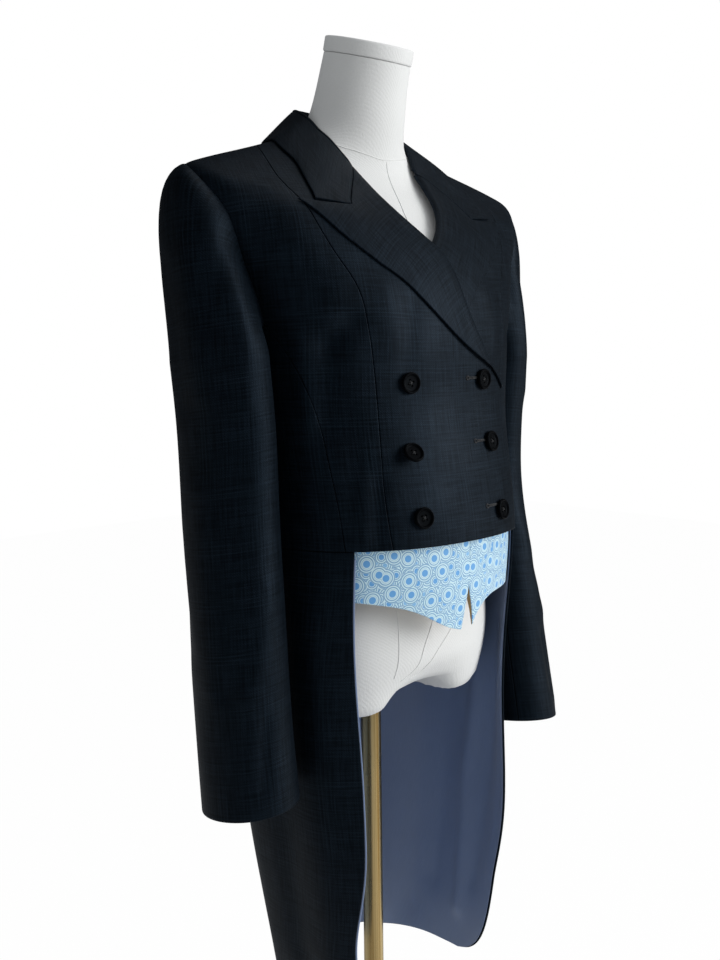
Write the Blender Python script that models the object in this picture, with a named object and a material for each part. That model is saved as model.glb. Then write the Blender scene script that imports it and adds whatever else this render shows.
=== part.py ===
"""Dressage tailcoat on a limbless dress form, which stands on a brass pole and a round foot.

Metres, +Z up. The origin is on the floor, under the pole. The coat's front faces -Y and the wearer's left
is +X. Every panel lies on one body surface, which has an angle round the body (0 at the centre front, in
degrees) and a level up it. A panel is the patch between its seams there, a wall of cloth thick, and what lies
on a panel is made from the same surface, moved out. Angles in the tables count from the centre front towards
the piece's own side.
"""

import math

import bpy
import numpy as np

# Cloth, and the gaps between its layers
CLOTH = 0.0014
SATIN = 0.0010
SEAM = 0.0004
LAID = 0.0009
LINING_GAP = 0.0007
ROLL_WIDTH = 0.005
TURN_IN = 0.0036
LAPPED = 0.0046
LAPPED_FULL, LAPPED_NONE = 52.0, 84.0
LAPPED_TOP, LAPPED_FADE = 1.45, 0.08
LINING_INSET = {"left": 0.008, "bottom": 0.008, "top": 0.003, "right": 0.005}

# Levels of the coat
HEM = 1.046
TAIL_HEM = 0.566
SHOULDER_TIP = 1.385
NECKLINE = 1.502
NECK_FRONT = (41, 48, 55, 62, 69, 76, 83, 90)
NECK_BACK = (90, 105, 120, 135, 150, 165, 180)
CUFF = {"right": 0.817, "left": 0.808}

# Centre vent: the left tail runs on under the right one
VENT_TOP = 1.010
VENT_LAP = 0.030
VENT_SINK = 0.0046
VENT_BLEND = 0.035
VENT_FROM, VENT_TURN = 166.0, 9.0
VENT_RADIUS = 0.1

# Dress form, pole and foot
POLE_RADIUS = 0.0105
FORM_CLEAR, FORM_SLACK = 0.0012, 0.0055
STUB_LOW, STUB_ROUND = 0.867, 0.017
ARCH_TOP, ARCH_HALF = 0.898, 0.042
CLEFT_DEEP, CLEFT_HALF, CLEFT_HIGH = 0.034, 0.046, 0.062
NECK_BASE = 1.540
FORM_MIDDLE_Y, FORM_DEPTH = 0.002, 0.09
UNDER_SHARES = (0.10, 0.30, 0.52, 0.73, 0.89)
POLE_GAP = 0.0007
FOOT_RADIUS = 0.140
FOOT_THICK = 0.012
SOCKET_RADIUS, SOCKET_HEIGHT = 0.021, 0.030
CAP_RADIUS, CAP_THICK = 0.0438, 0.0145
CAP_ROUND, CAP_BEVEL, FOOT_BEVEL = 0.003, 0.001, 0.003

# Buttons
BUTTON_RADIUS = 0.0100
BUTTON_STANDOFF = 0.0004
BUTTON_SIDES = 20

RIGHT, LEFT = -1, 1
SIDES = {"right": RIGHT, "left": LEFT}

# Rings of the body surface, which is the coat's inner face. The last column is the power of the rounded
# square. A ring that stands lower in front or behind eases down to it by END_EASE.
END_EASE = 1.4
RING_COLUMNS = "level half_width front back centre_y side_z front_z back_z power"
BODY_RINGS = [
    (0.540, 0.100, 0.120, 0.072, 0.000, 0.540, 0.540, 0.540, 2.20),
    (0.640, 0.117, 0.138, 0.081, 0.000, 0.640, 0.640, 0.640, 2.20),
    (0.740, 0.132, 0.139, 0.098, 0.000, 0.740, 0.740, 0.740, 2.20),
    (0.840, 0.143, 0.126, 0.112, 0.000, 0.840, 0.840, 0.840, 2.20),
    (0.930, 0.147, 0.126, 0.118, 0.000, 0.930, 0.930, 0.930, 2.20),
    (1.045, 0.146, 0.136, 0.106, 0.000, 1.045, 1.045, 1.045, 2.30),
    (1.105, 0.146, 0.127, 0.100, 0.000, 1.105, 1.105, 1.105, 2.35),
    (1.165, 0.150, 0.116, 0.101, 0.000, 1.165, 1.165, 1.165, 2.35),
    (1.245, 0.161, 0.112, 0.107, 0.000, 1.245, 1.242, 1.245, 2.35),
    (1.310, 0.183, 0.104, 0.109, 0.003, 1.310, 1.290, 1.305, 2.20),
    (1.385, 0.205, 0.086, 0.098, 0.007, 1.385, 1.335, 1.360, 1.95),
    (1.400, 0.196, 0.082, 0.094, 0.008, 1.3898, 1.343, 1.370, 1.90),
    (1.425, 0.170, 0.076, 0.088, 0.011, 1.3980, 1.356, 1.387, 1.84),
    (1.455, 0.139, 0.068, 0.080, 0.015, 1.407, 1.370, 1.405, 1.80),
    (1.525, 0.071, 0.050, 0.066, 0.026, 1.428, 1.400, 1.438, 1.90),
]

# Rings of the dress form. Its shoulders carry the coat, and its neck leans forward to the cap.
FORM_RINGS = [
    (0.885, 0.132, 0.088, 0.092, 0.000, 0.885, 0.885, 0.885, 2.10),
    (0.915, 0.139, 0.096, 0.101, 0.000, 0.915, 0.915, 0.915, 2.10),
    (0.960, 0.140, 0.099, 0.103, 0.000, 0.960, 0.960, 0.960, 2.10),
    (1.020, 0.130, 0.092, 0.094, 0.000, 1.020, 1.020, 1.020, 2.10),
    (1.090, 0.116, 0.084, 0.084, 0.000, 1.090, 1.090, 1.090, 2.10),
    (1.165, 0.126, 0.090, 0.088, 0.000, 1.165, 1.165, 1.165, 2.10),
    (1.245, 0.146, 0.101, 0.098, 0.000, 1.245, 1.242, 1.245, 2.10),
    (1.310, 0.164, 0.096, 0.100, 0.003, 1.310, 1.290, 1.305, 2.10),
    (1.375, 0.180, 0.080, 0.089, 0.007, 1.372, 1.334, 1.358, 1.90),
    (1.455, 0.1375, 0.064, 0.075, 0.015, 1.4060, 1.367, 1.402, 1.80),
    (1.515, 0.0630, 0.043, 0.052, 0.018, 1.4235, 1.404, 1.428, 1.90),
    (1.545, 0.0485, 0.0445, 0.049, 0.011, 1.4430, 1.427, 1.454, 2.00),
    (1.600, 0.0440, 0.0425, 0.0445, 0.003, 1.4725, 1.459, 1.486, 2.00),
    (1.650, 0.0420, 0.0420, 0.0420, -0.0055, 1.5050, 1.493, 1.517, 2.00),
]

# Seams and edges on the body surface, from bottom to top. A degree counts as so many metres along them.
DEGREE = 0.0025
PRINCESS = [(35, HEM), (37, 1.08), (39, 1.14), (41, 1.20), (43, 1.245), (47, 1.293), (53, 1.324), (58, 1.352),
            (65, 1.392), (72, 1.42), (83, 1.46), (90, 1.475)]
FRONT_EDGE = [(-34, HEM), (-34, 1.100), (-35, 1.133), (-37, 1.182)]
ROLL_LINE = [(-37, 1.182), (-28, 1.207), (-20, 1.232), (-14, 1.256), (-10, 1.290), (-8, 1.318), (-4, 1.342),
             (7, 1.371), (18, 1.402), (29, 1.448), (41, NECKLINE)]
SIDE_SEAM = [(51, HEM), (53, 1.08), (55, 1.105), (60, 1.16), (67, 1.21), (77, 1.25)]
ARMHOLE_FRONT = [(77, 1.25), (78, 1.281), (79, 1.306), (79, 1.33), (80, 1.349), (85, 1.371),
                 (90, SHOULDER_TIP)]
ARMHOLE_UNDER = [(77, 1.25), (86, 1.232), (97, 1.232), (106, 1.262)]
ARMHOLE_BACK = [(106, 1.262), (106, 1.30), (103, 1.335), (97, 1.367), (90, SHOULDER_TIP)]
BACK_SEAM = [(152, HEM), (150, 1.09), (143, 1.14), (132, 1.19), (118, 1.235), (106, 1.262)]
TAIL_BACK_SEAM = [(146, TAIL_HEM), (148, 0.74), (150, 0.93), (152, HEM)]
TAIL_EDGE = [(72, 0.5565), (62, 0.565), (53, 0.587), (50, 0.62), (50, 0.66), (48, 0.698), (46, 0.738),
             (46, 0.784), (47, 0.84), (49, 0.93), (49, 0.98), (48, HEM)]
TAIL_FOOT = [(72, 0.5565), (96, 0.5535), (122, 0.558), (146, TAIL_HEM)]
TAIL_STEPS = (0.0, 0.035, 0.09, 0.18, 0.36, 0.57, 0.78, 1.0)

# Lapel: its outer edge, and the seam where the collar joins it above the gorge
LAPEL_EDGE = [(-34.6, 1.1885), (-28, 1.203), (-20, 1.213), (-5, 1.232), (7, 1.253), (18, 1.278), (28, 1.302),
              (37, 1.319), (45, 1.336), (52, 1.352), (58, 1.369), (65, 1.386)]
LAPEL_ROLL = [(-36.6, 1.1845), (-28, 1.207), (-20, 1.232), (-14, 1.256), (-10, 1.290), (-8, 1.318),
              (-4, 1.342), (7, 1.371), (18, 1.402), (24, 1.425)]
COLLAR_SEAM = [(48, 1.411), (41.8, 1.500)]
SEAM_ROLL = [(24, 1.425), (29, 1.448), (41, 1.500)]
LAPEL_SHARES, NOTCH_ROW = (0, 0.2, 0.415, 0.60, 0.76, 0.88, 0.94, 0.98, 1.0), 2

# Collar, from its front end to the nape: where the stand's foot is on the neckline, the fold in space, the
# outer edge on the body surface, and how far the fall swells. Its own front end is cut across, from the fold
# to the edge.
COLLAR_COLUMNS = "foot_angle fold_x fold_y fold_z edge_angle edge_level bulge"
COLLAR_ROWS = [
    (44, 0.0455, -0.0235, 1.4055, 60.7, 1.3955, 0.0030),
    (48, 0.0480, -0.0195, 1.4110, 61.9, 1.4075, 0.0030),
    (52, 0.0505, -0.0150, 1.4162, 64.1, 1.4235, 0.0030),
    (56, 0.0530, -0.0100, 1.4220, 67.8, 1.4460, 0.0030),
    (67, 0.0553, 0.0030, 1.4315, 76.0, 1.4735, 0.0030),
    (82, 0.0555, 0.0164, 1.4425, 87.0, 1.4930, 0.0020),
    (104, 0.0505, 0.0400, 1.4550, 105.0, 1.4980, 0.0012),
    (128, 0.0400, 0.0580, 1.4600, 128.0, 1.4960, 0.0022),
    (154, 0.0230, 0.0710, 1.4635, 154.0, 1.4880, 0.0045),
    (180, 0.0000, 0.0755, 1.4640, 180.0, 1.4820, 0.0052),
]
COLLAR_END = (41, 0.0425, -0.0262, 1.4020, 48.6, 1.4118, 0.0030)
COLLAR_AT = (44, 48, 52, 55, 58.5, 62, 69, 76, 83, 90, 97.5, 105, 112.5, 120, 127.5, 135, 142.5, 150, 157.5,
             165, 172.5, 180)
STAND_FROM, STAND_SHARE = 52, 0.55
FALL_SHARES = (0.12, 0.28, 0.46, 0.64, 0.82, 1.0)
FALL_LIFT, FALL_AWAY, FALL_POWER = 0.75, 0.66, 0.7
FOLD_RADIUS = 0.0012

# Sleeves: rings below the head, with the sleeve's middle counted out from the centre line. They hang a little
# differently on the two sides, as empty sleeves do.
SLEEVE_COLUMNS = "level middle_x middle_y half_width half_depth"
SLEEVE_RINGS = {
    "right": [
        (1.215, 0.1930, -0.0160, 0.0335, 0.0560),
        (1.160, 0.1895, -0.0180, 0.0345, 0.0545),
        (1.080, 0.1890, -0.0210, 0.0360, 0.0520),
        (1.000, 0.1900, -0.0272, 0.0375, 0.0500),
        (0.900, 0.1900, -0.0338, 0.0390, 0.0480),
        (0.797, 0.1890, -0.0430, 0.0410, 0.0470),
    ],
    "left": [
        (1.215, 0.1905, 0.0060, 0.0300, 0.0500),
        (1.160, 0.1895, 0.0070, 0.0335, 0.0470),
        (1.080, 0.1885, 0.0060, 0.0345, 0.0450),
        (1.000, 0.1890, -0.0070, 0.0360, 0.0450),
        (0.900, 0.1895, -0.0240, 0.0385, 0.0460),
        (0.797, 0.1890, -0.0420, 0.0410, 0.0470),
    ],
}
SLEEVE_LEVELS = (1.215, 1.160, 1.110, 1.055, 1.000, 0.945, 0.895, 0.852)
# How the head leaves the armhole: its reach outwards, least under the arm, and its drop to the first ring
HEAD_REACH = {"right": (0.030, 0.35), "left": (0.012, 0.20)}
HEAD_STEPS = (0.0, 0.07, 0.18, 0.34, 0.54, 0.77)
HEAD_HIGH, LEAST_REACH = 0.08, 0.014
LEAVE_ALONG, LEAVE_UP = -0.45, 0.10
DROP_LEAST, DROP_MORE, DROP_SHARE = 0.003, 0.017, 0.9
CUFF_RISE, CUFF_FROM = 0.009, 0.90
CUFF_FRONT, CUFF_OUTSIDE = 0.6, 0.4

# Waistcoat points below the coat's hem, from the side to the slit between them
WAISTCOAT_TOP = 1.058
WAISTCOAT = {
    "right": [(74, 0.999), (49, 0.997), (41, 0.994), (30, 0.988), (20, 0.9785), (7, 0.963), (-1, 0.9575)],
    "left": [(74, 0.985), (44, 0.985), (30, 0.9855), (20, 0.984), (14, 0.978), (10, 0.9685), (8, 0.9595)],
}
SLIT = {
    "right": [(-1, 0.9575), (-2.0, 0.985), (-2.6, 1.003), (-2.8, 1.03), (-2.8, WAISTCOAT_TOP)],
    "left": [(8, 0.9595), (5.8, 0.985), (4.2, 1.003), (3.5, 1.03), (3.5, WAISTCOAT_TOP)],
}
WAISTCOAT_GAP, WAISTCOAT_INSET, INSET_HIGH = 0.0013, 0.0028, 0.02
WAISTCOAT_SIDE = 74

# Buttons on the right front: the column nearer the side seam, then the one nearer the edge. tip is how far
# one hangs, in degrees.
BUTTON_COLUMNS = "angle level tip"
BUTTON_ROWS = {
    "button_side": [(26.5, 1.1942, 0), (27, 1.1300, 26), (23.5, 1.0727, 0)],
    "button_edge": [(-19.7, 1.1950, 0), (-21, 1.1346, 0), (-20.3, 1.0694, 0)],
}

FINISHES = {
    # name: (colour, roughness, metallic)
    "suiting": ((0.012, 0.014, 0.019), 0.78, 0.0),
    "lining": ((0.120, 0.140, 0.195), 0.42, 0.0),
    "jacquard": ((0.360, 0.520, 0.720), 0.45, 0.0),
    "linen": ((0.720, 0.690, 0.630), 0.85, 0.0),
    "horn": ((0.010, 0.010, 0.011), 0.35, 0.0),
    "brass": ((0.560, 0.430, 0.220), 0.28, 1.0),
}


def material(name):
    """The Principled material of this finish, made once."""
    found = bpy.data.materials.get(name)
    if found:
        return found
    colour, roughness, metallic = FINISHES[name]
    made = bpy.data.materials.new(name)
    made.use_nodes = True
    shader = made.node_tree.nodes["Principled BSDF"]
    shader.inputs["Base Color"].default_value = (*colour, 1.0)
    shader.inputs["Roughness"].default_value = roughness
    shader.inputs["Metallic"].default_value = metallic
    return made


def columns(names, rows):
    """A table's rows as one array for each named column."""
    return dict(zip(names.split(), np.array(rows, float).T))


def smooth_step(x):
    """0 below 0, 1 above 1, and an eased rise between."""
    x = np.clip(x, 0.0, 1.0)
    return x * x * (3 - 2 * x)


def unit(vectors):
    """The vectors at length 1, and a null one left as it is."""
    length = np.linalg.norm(vectors, axis=-1, keepdims=True)
    return vectors / np.where(length > 0, length, 1.0)


def curve_through(x, y, at):
    """Natural cubic spline through the points (x, y), read at the places given."""
    count = len(x)
    step = np.diff(x)
    matrix = np.eye(count)
    wanted = np.zeros((count,) + y.shape[1:])
    for i in range(1, count - 1):
        matrix[i, i - 1 : i + 2] = step[i - 1], 2 * (step[i - 1] + step[i]), step[i]
        wanted[i] = 6 * ((y[i + 1] - y[i]) / step[i] - (y[i] - y[i - 1]) / step[i - 1])
    bend = np.linalg.solve(matrix, wanted)
    at = np.asarray(at, float)
    i = np.clip(np.searchsorted(x, at) - 1, 0, count - 2)
    before, after = (at - x[i])[..., None], (x[i + 1] - at)[..., None]
    span = step[i][..., None]
    return ((bend[i] * after**3 + bend[i + 1] * before**3) / (6 * span)
            + (y[i] / span - bend[i] * span / 6) * after
            + (y[i + 1] / span - bend[i + 1] * span / 6) * before)


def ring_point(rings, theta, level):
    """A point of a ringed surface: at an angle from the centre front on a rounded square ring, whose front
    and back may stand lower than its sides."""
    theta, level = np.broadcast_arrays(np.asarray(theta, float), np.asarray(level, float))
    table = columns(RING_COLUMNS, rings)
    sizes = np.stack([table[name] for name in RING_COLUMNS.split()[1:]], 1)
    half_width, front, back, centre_y, side_z, front_z, back_z, power = np.moveaxis(
        curve_through(table["level"], sizes, level), -1, 0)
    across, along = np.sin(np.radians(theta)), np.cos(np.radians(theta))
    depth = np.where(along > 0, front, back)
    radius = (np.abs(across / half_width) ** power + np.abs(along / depth) ** power) ** (-1 / power)
    end_z = np.where(along > 0, front_z, back_z)
    z = side_z + (end_z - side_z) * np.clip(radius * np.abs(along) / depth, 0, 1) ** END_EASE
    return np.stack([radius * across, centre_y - radius * along, z], -1)


def body(theta, level, out=0.0):
    """The body surface, moved out along its normal."""
    small_angle, small_level = 0.5, 0.001
    point = ring_point(BODY_RINGS, theta, level)
    beside, before = (ring_point(BODY_RINGS, theta + step, level) for step in (small_angle, -small_angle))
    above, below = (ring_point(BODY_RINGS, theta, level + step) for step in (small_level, -small_level))
    return point + unit(np.cross(beside - before, above - below)) * np.asarray(out)[..., None]


def layer(side, angle, level):
    """How far a side's own cloth stands off the body surface: the right front laps over the left front and
    its lapel, and the left tail's vent edge runs under the right one."""
    if side == RIGHT:
        across = smooth_step((LAPPED_NONE - angle) / (LAPPED_NONE - LAPPED_FULL))
        return LAPPED * across * smooth_step((LAPPED_TOP - level) / LAPPED_FADE)
    below_top = smooth_step((VENT_TOP + VENT_BLEND - level) / VENT_BLEND)
    return -VENT_SINK * smooth_step((angle - VENT_FROM) / VENT_TURN) * below_top


def on_side(side, angle, level, out=0.0):
    """A point of one side's cloth, moved out from its inner face."""
    return body(side * angle, level, layer(side, angle, level) + out)


def along(rows, shares):
    """Places on a seam or edge, as (angle, level) pairs: a count of evenly spaced ones, or those at the given
    shares of its length."""
    rows = np.array(rows, float)
    length = np.r_[0, np.cumsum(np.linalg.norm(np.diff(rows * (DEGREE, 1.0), axis=0), axis=1))]
    if isinstance(shares, int):
        shares = np.linspace(0, 1, shares)
    return curve_through(length, rows, length[-1] * np.asarray(shares))


def joined(*stretches):
    """Seams that follow each other, as one, with each shared place once."""
    return np.concatenate([stretch[:-1] for stretch in stretches[:-1]] + [stretches[-1]])


def straight(start, end, count):
    """Even places between two."""
    return np.linspace(start, end, count)


def level_line(angles, level):
    """Places at the given angles, all at one level."""
    return np.stack([np.array(angles, float), np.full(len(angles), level)], 1)


def filled_in(bottom, top, left, right):
    """The grid of places between four edges (a Coons patch). Left and right run upwards, bottom and top from
    left to right."""
    s = np.linspace(0, 1, len(bottom))[:, None, None]
    t = np.linspace(0, 1, len(left))[None, :, None]
    corners = ((1 - s) * (1 - t) * bottom[0] + s * (1 - t) * bottom[-1]
               + (1 - s) * t * top[0] + s * t * top[-1])
    return (1 - t) * bottom[:, None] + t * top[:, None] + (1 - s) * left[None] + s * right[None] - corners


def drawn_in(points, left=SEAM / 2, right=SEAM / 2, bottom=SEAM / 2, top=SEAM / 2):
    """The grid with each edge moved towards its next row, which leaves the gap of a seam."""
    points = points.copy()
    for edge, inner, distance in ((0, 1, left), (-1, -2, right)):
        points[edge] += unit(points[inner] - points[edge]) * distance
    for edge, inner, distance in ((0, 1, bottom), (-1, -2, top)):
        points[:, edge] += unit(points[:, inner] - points[:, edge]) * distance
    return points


def moved_out(points, thick, outwards):
    """The grid moved along its own normals, on the side that outwards points to."""
    normal = unit(np.cross(np.gradient(points, axis=0), np.gradient(points, axis=1)))
    if (normal * outwards).sum() < 0:
        normal = -normal
    return points + normal * thick


def new_object(name, vertices, faces, finish):
    """A mesh object, shaded smooth but for its edges."""
    mesh = bpy.data.meshes.new(name)
    mesh.from_pydata(vertices.tolist(), [], faces)
    mesh.materials.append(material(finish))
    mesh.shade_smooth()
    mesh.set_sharp_from_angle(angle=math.radians(40))
    made = bpy.data.objects.new(name, mesh)
    bpy.context.scene.collection.objects.link(made)
    return made


def cloth(name, inner, outer, finish, keep=None):
    """A piece of cloth: its inner and outer faces as grids of points, with a rim round what keep leaves of
    the cells. Every cell is halved along the same diagonal, so pieces from one grid stay parallel."""
    rows, across = inner.shape[:2]
    keep = np.ones((rows - 1, across - 1), bool) if keep is None else keep
    turn = np.cross(outer[1:, :-1] - outer[:-1, :-1], outer[:-1, 1:] - outer[:-1, :-1])
    facing_out = (turn * (outer - inner)[:-1, :-1]).sum() > 0
    number = np.arange(rows * across).reshape(rows, across)
    faces = []
    border = {}
    for i, j in zip(*np.nonzero(keep)):
        ring = [number[i, j], number[i + 1, j], number[i + 1, j + 1], number[i, j + 1]]
        halves = ring[:3], [ring[0], ring[2], ring[3]]
        if not facing_out:
            ring.reverse()
            halves = halves[0][::-1], halves[1][::-1]
        for half in halves:
            faces.append([k + rows * across for k in half])
            faces.append(half[::-1])
        for a, b in zip(ring, ring[1:] + ring[:1]):
            if border.pop((b, a), None) is None:
                border[a, b] = True
    for a, b in border:
        faces.append([b + rows * across, a + rows * across, a, b])
    used, index = np.unique(np.concatenate(faces), return_inverse=True)
    vertices = np.concatenate([inner.reshape(-1, 3), outer.reshape(-1, 3)])[used]
    ends = np.cumsum([0] + [len(face) for face in faces])
    faces = [index[a:b].tolist() for a, b in zip(ends, ends[1:])]
    return new_object(name, vertices, faces, finish)


def panel(name, side, places, finish="suiting", keep=None, thick=CLOTH, out=0.0, **edges):
    """A panel on the body surface, from the grid of its places."""
    angle, level = places[..., 0], places[..., 1]
    inner = drawn_in(on_side(side, angle, level, out), **edges)
    outer = drawn_in(on_side(side, angle, level, out + thick), **edges)
    return cloth(name, inner, outer, finish, keep)


def turned(name, profile, sides, finish):
    """A closed solid turned round Z from a profile of (radius, height), bottom to top, with its ends on the
    axis."""
    profile = np.array(profile, float)
    angle = np.linspace(0, 2 * np.pi, sides, endpoint=False)
    rim = profile[1:-1]
    ring = np.stack([rim[:, :1] * np.cos(angle), rim[:, :1] * np.sin(angle),
                     np.repeat(rim[:, 1:], sides, axis=1)], -1).reshape(-1, 3)
    vertices = np.concatenate([ring, [(0, 0, profile[0, 1]), (0, 0, profile[-1, 1])]])
    low, high = len(ring), len(ring) + 1
    last = (len(rim) - 1) * sides
    faces = []
    for k in range(sides):
        after = (k + 1) % sides
        faces.append([low, after, k])
        faces.append([high, last + k, last + after])
        faces += [[r + k, r + after, r + sides + after, r + sides + k] for r in range(0, last, sides)]
    return new_object(name, vertices, faces, finish)


def make_fronts():
    """Each front in two panels, joined by the princess seam from the hem over the bust to the shoulder."""
    for word, side in SIDES.items():
        princess = along(PRINCESS, 15)
        edge = joined(along(FRONT_EDGE, 5), along(ROLL_LINE, 11))
        neck = joined(level_line(NECK_FRONT, NECKLINE), straight((90, NECKLINE), (90, 1.475), 3))
        hem = straight((-34, HEM), (35, HEM), 10)
        places = filled_in(hem, neck, edge, princess)
        panel(f"front_centre_{word}", side, places, left=TURN_IN, bottom=0.0, top=SEAM / 2)
        seam = joined(along(SIDE_SEAM, 7), along(ARMHOLE_FRONT, 9))
        shoulder = straight((90, 1.475), (90, SHOULDER_TIP), 6)
        hem = straight((35, HEM), (51, HEM), 6)
        panel(f"front_side_{word}", side, filled_in(hem, shoulder, princess, seam), bottom=0.0)


def make_side_bodies():
    """The panel under each arm, from the side seam to the back seam, down to the waist."""
    for word, side in SIDES.items():
        waist = straight((51, HEM), (152, HEM), 9)
        places = filled_in(waist, along(ARMHOLE_UNDER, 9), along(SIDE_SEAM, 7), along(BACK_SEAM, 7))
        panel(f"side_body_{word}", side, places)


def back_places():
    """One half of the back, from its seam to the centre, in as many rows below the waist as the tail has."""
    neck = level_line(NECK_BACK, NECKLINE)
    hem = straight((146, TAIL_HEM), (180, TAIL_HEM), len(neck))
    waist = straight((152, HEM), (180, HEM), len(neck))
    shoulder = straight((90, SHOULDER_TIP), (90, NECKLINE), 5)
    seam = joined(along(BACK_SEAM, 7), along(ARMHOLE_BACK, 9), shoulder)
    upper = filled_in(waist, neck, seam, straight(waist[-1], neck[-1], len(seam)))
    centre = along((hem[-1], waist[-1]), TAIL_STEPS)
    lower = filled_in(hem, waist, along(TAIL_BACK_SEAM, TAIL_STEPS), centre)
    return np.concatenate([lower, upper[:, 1:]], axis=1)


def make_backs():
    """Each half of the back, cut in one from the shoulder to the tail's hem. Below the waist the centre is a
    vent, where the left half runs on under the right one."""
    places = back_places()
    panel("back_right", RIGHT, places, bottom=0.0)
    step = np.array([np.degrees(VENT_LAP / VENT_RADIUS) / 2, 0.0])
    beyond = places[-1] + step * np.arange(1, 3)[:, None, None]
    keep = np.ones((len(places) + 1, places.shape[1] - 1), bool)
    keep[-2:, len(TAIL_STEPS) - 2 :] = False
    panel("back_left", LEFT, np.concatenate([places, beyond]), bottom=0.0, keep=keep)


def tail_places():
    """The skirt of a tail, from its front edge to the back seam."""
    edge, seam = along(TAIL_EDGE, TAIL_STEPS), along(TAIL_BACK_SEAM, TAIL_STEPS)
    return filled_in(along(TAIL_FOOT, 11), straight(edge[-1], seam[-1], 11), edge, seam)


def make_tails():
    """Each tail's skirt, sewn to the waist, and the satin inside the tail from behind its front edge to the
    vent."""
    skirt = tail_places()
    lined = np.concatenate([skirt, back_places()[1:, : len(TAIL_STEPS)]])
    for word, side in SIDES.items():
        panel(f"tail_{word}", side, skirt, left=0.0, bottom=0.0)
        panel(f"lining_{word}", side, lined, "lining", thick=SATIN, out=-LINING_GAP - SATIN, **LINING_INSET)


def roll_height(distance):
    """How high the turned-back cloth stands at a distance from its fold: a quarter of an ellipse, then
    level."""
    share = np.clip(distance / ROLL_WIDTH, 0, 1)
    return (CLOTH + LAID) * np.sqrt(1 - (1 - share) ** 2)


def make_lapels():
    """Each lapel turns back at the roll line and lies on its front. Above the gorge it runs on as a narrow
    point between the roll line and the collar seam."""
    share = np.array(LAPEL_SHARES)
    for word, side in SIDES.items():
        edge, roll = along(LAPEL_EDGE, 13), along(LAPEL_ROLL, 13)
        low = edge[None] + (roll - edge)[None] * share[:, None, None]
        seam, upper = along(COLLAR_SEAM, 5)[1:], along(SEAM_ROLL, 5)[1:]
        part = np.clip((share - share[NOTCH_ROW]) / (1 - share[NOTCH_ROW]), 0, 1)
        high = seam[None] + (upper - seam)[None] * part[:, None, None]
        places = np.concatenate([low, high], axis=1)
        keep = np.ones((len(share) - 1, places.shape[1] - 1), bool)
        keep[:NOTCH_ROW, len(edge) - 1 :] = False
        flat = on_side(side, places[..., 0], places[..., 1])
        lengths = np.linalg.norm(np.diff(flat[::-1], axis=0), axis=-1)
        distance = np.concatenate([np.zeros((1, flat.shape[1])), np.cumsum(lengths, axis=0)])[::-1]
        inner = on_side(side, places[..., 0], places[..., 1], roll_height(distance))
        inner = drawn_in(inner, left=SEAM / 2, right=0.0, bottom=0.0)
        outwards = on_side(side, places[..., 0], places[..., 1], 0.01) - flat
        cloth(f"lapel_{word}", inner, moved_out(inner, CLOTH, outwards), "suiting", keep)


def collar_rows():
    """The collar's rows from the right front end round the neck to the left one, as arrays by column."""
    table = np.array(COLLAR_ROWS, float)
    round_neck = np.column_stack([COLLAR_AT, curve_through(table[:, 0], table[:, 1:], COLLAR_AT)])
    half = np.concatenate([[COLLAR_END], round_neck])
    rows = columns(COLLAR_COLUMNS, np.concatenate([half, half[-2::-1]]))
    side = np.r_[np.full(len(half), RIGHT), np.full(len(half) - 1, LEFT)]
    return side, rows


def neck_edge(side, angle, out):
    """The neckline's edge, as the chords between the panels' own places on it."""
    corners = np.array(sorted({*NECK_FRONT, *NECK_BACK}), float)
    edge = body(corners, NECKLINE + SEAM, out)
    return np.stack([side * np.interp(angle, corners, edge[:, 0]), np.interp(angle, corners, edge[:, 1]),
                     np.interp(angle, corners, edge[:, 2])], -1)


def make_collar():
    """The collar in one: a stand round the neck, a fold, and a fall that lies down on the shoulders to its
    edge."""
    side, row = collar_rows()
    fold = np.stack([side * row["fold_x"], row["fold_y"], row["fold_z"]], -1)
    edge_places = zip(side, row["edge_angle"], row["edge_level"])
    edge = np.array([on_side(one_side, angle, level, CLOTH + LAID) for one_side, angle, level in edge_places])
    foot = neck_edge(side, row["foot_angle"], CLOTH)
    up = np.array([0, 0, 1.0])
    away = unit((edge - fold) * (1, 1, 0))
    turn = away * FOLD_RADIUS
    lift = up * FALL_LIFT + away * FALL_AWAY
    points = [foot, foot + (fold - foot) * STAND_SHARE, fold - turn, fold + up * FOLD_RADIUS, fold + turn]
    for share in FALL_SHARES:
        swell = row["bulge"][:, None] * np.sin(np.pi * share) ** FALL_POWER
        points.append(fold + turn + (edge - fold - turn) * share + lift * swell)
    inner = np.stack(points, 1)
    has_stand = row["foot_angle"] >= STAND_FROM
    keep = np.ones((len(side) - 1, len(points) - 1), bool)
    keep[:, :2] = (has_stand[:-1] & has_stand[1:])[:, None]
    outwards = np.zeros_like(inner)
    outwards[:, 5:] = lift[:, None]
    outer = moved_out(inner, CLOTH, outwards)
    outer[:, 0] = neck_edge(side, row["foot_angle"], 0.0)
    cloth("collar", inner, outer, "suiting", keep)


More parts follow.
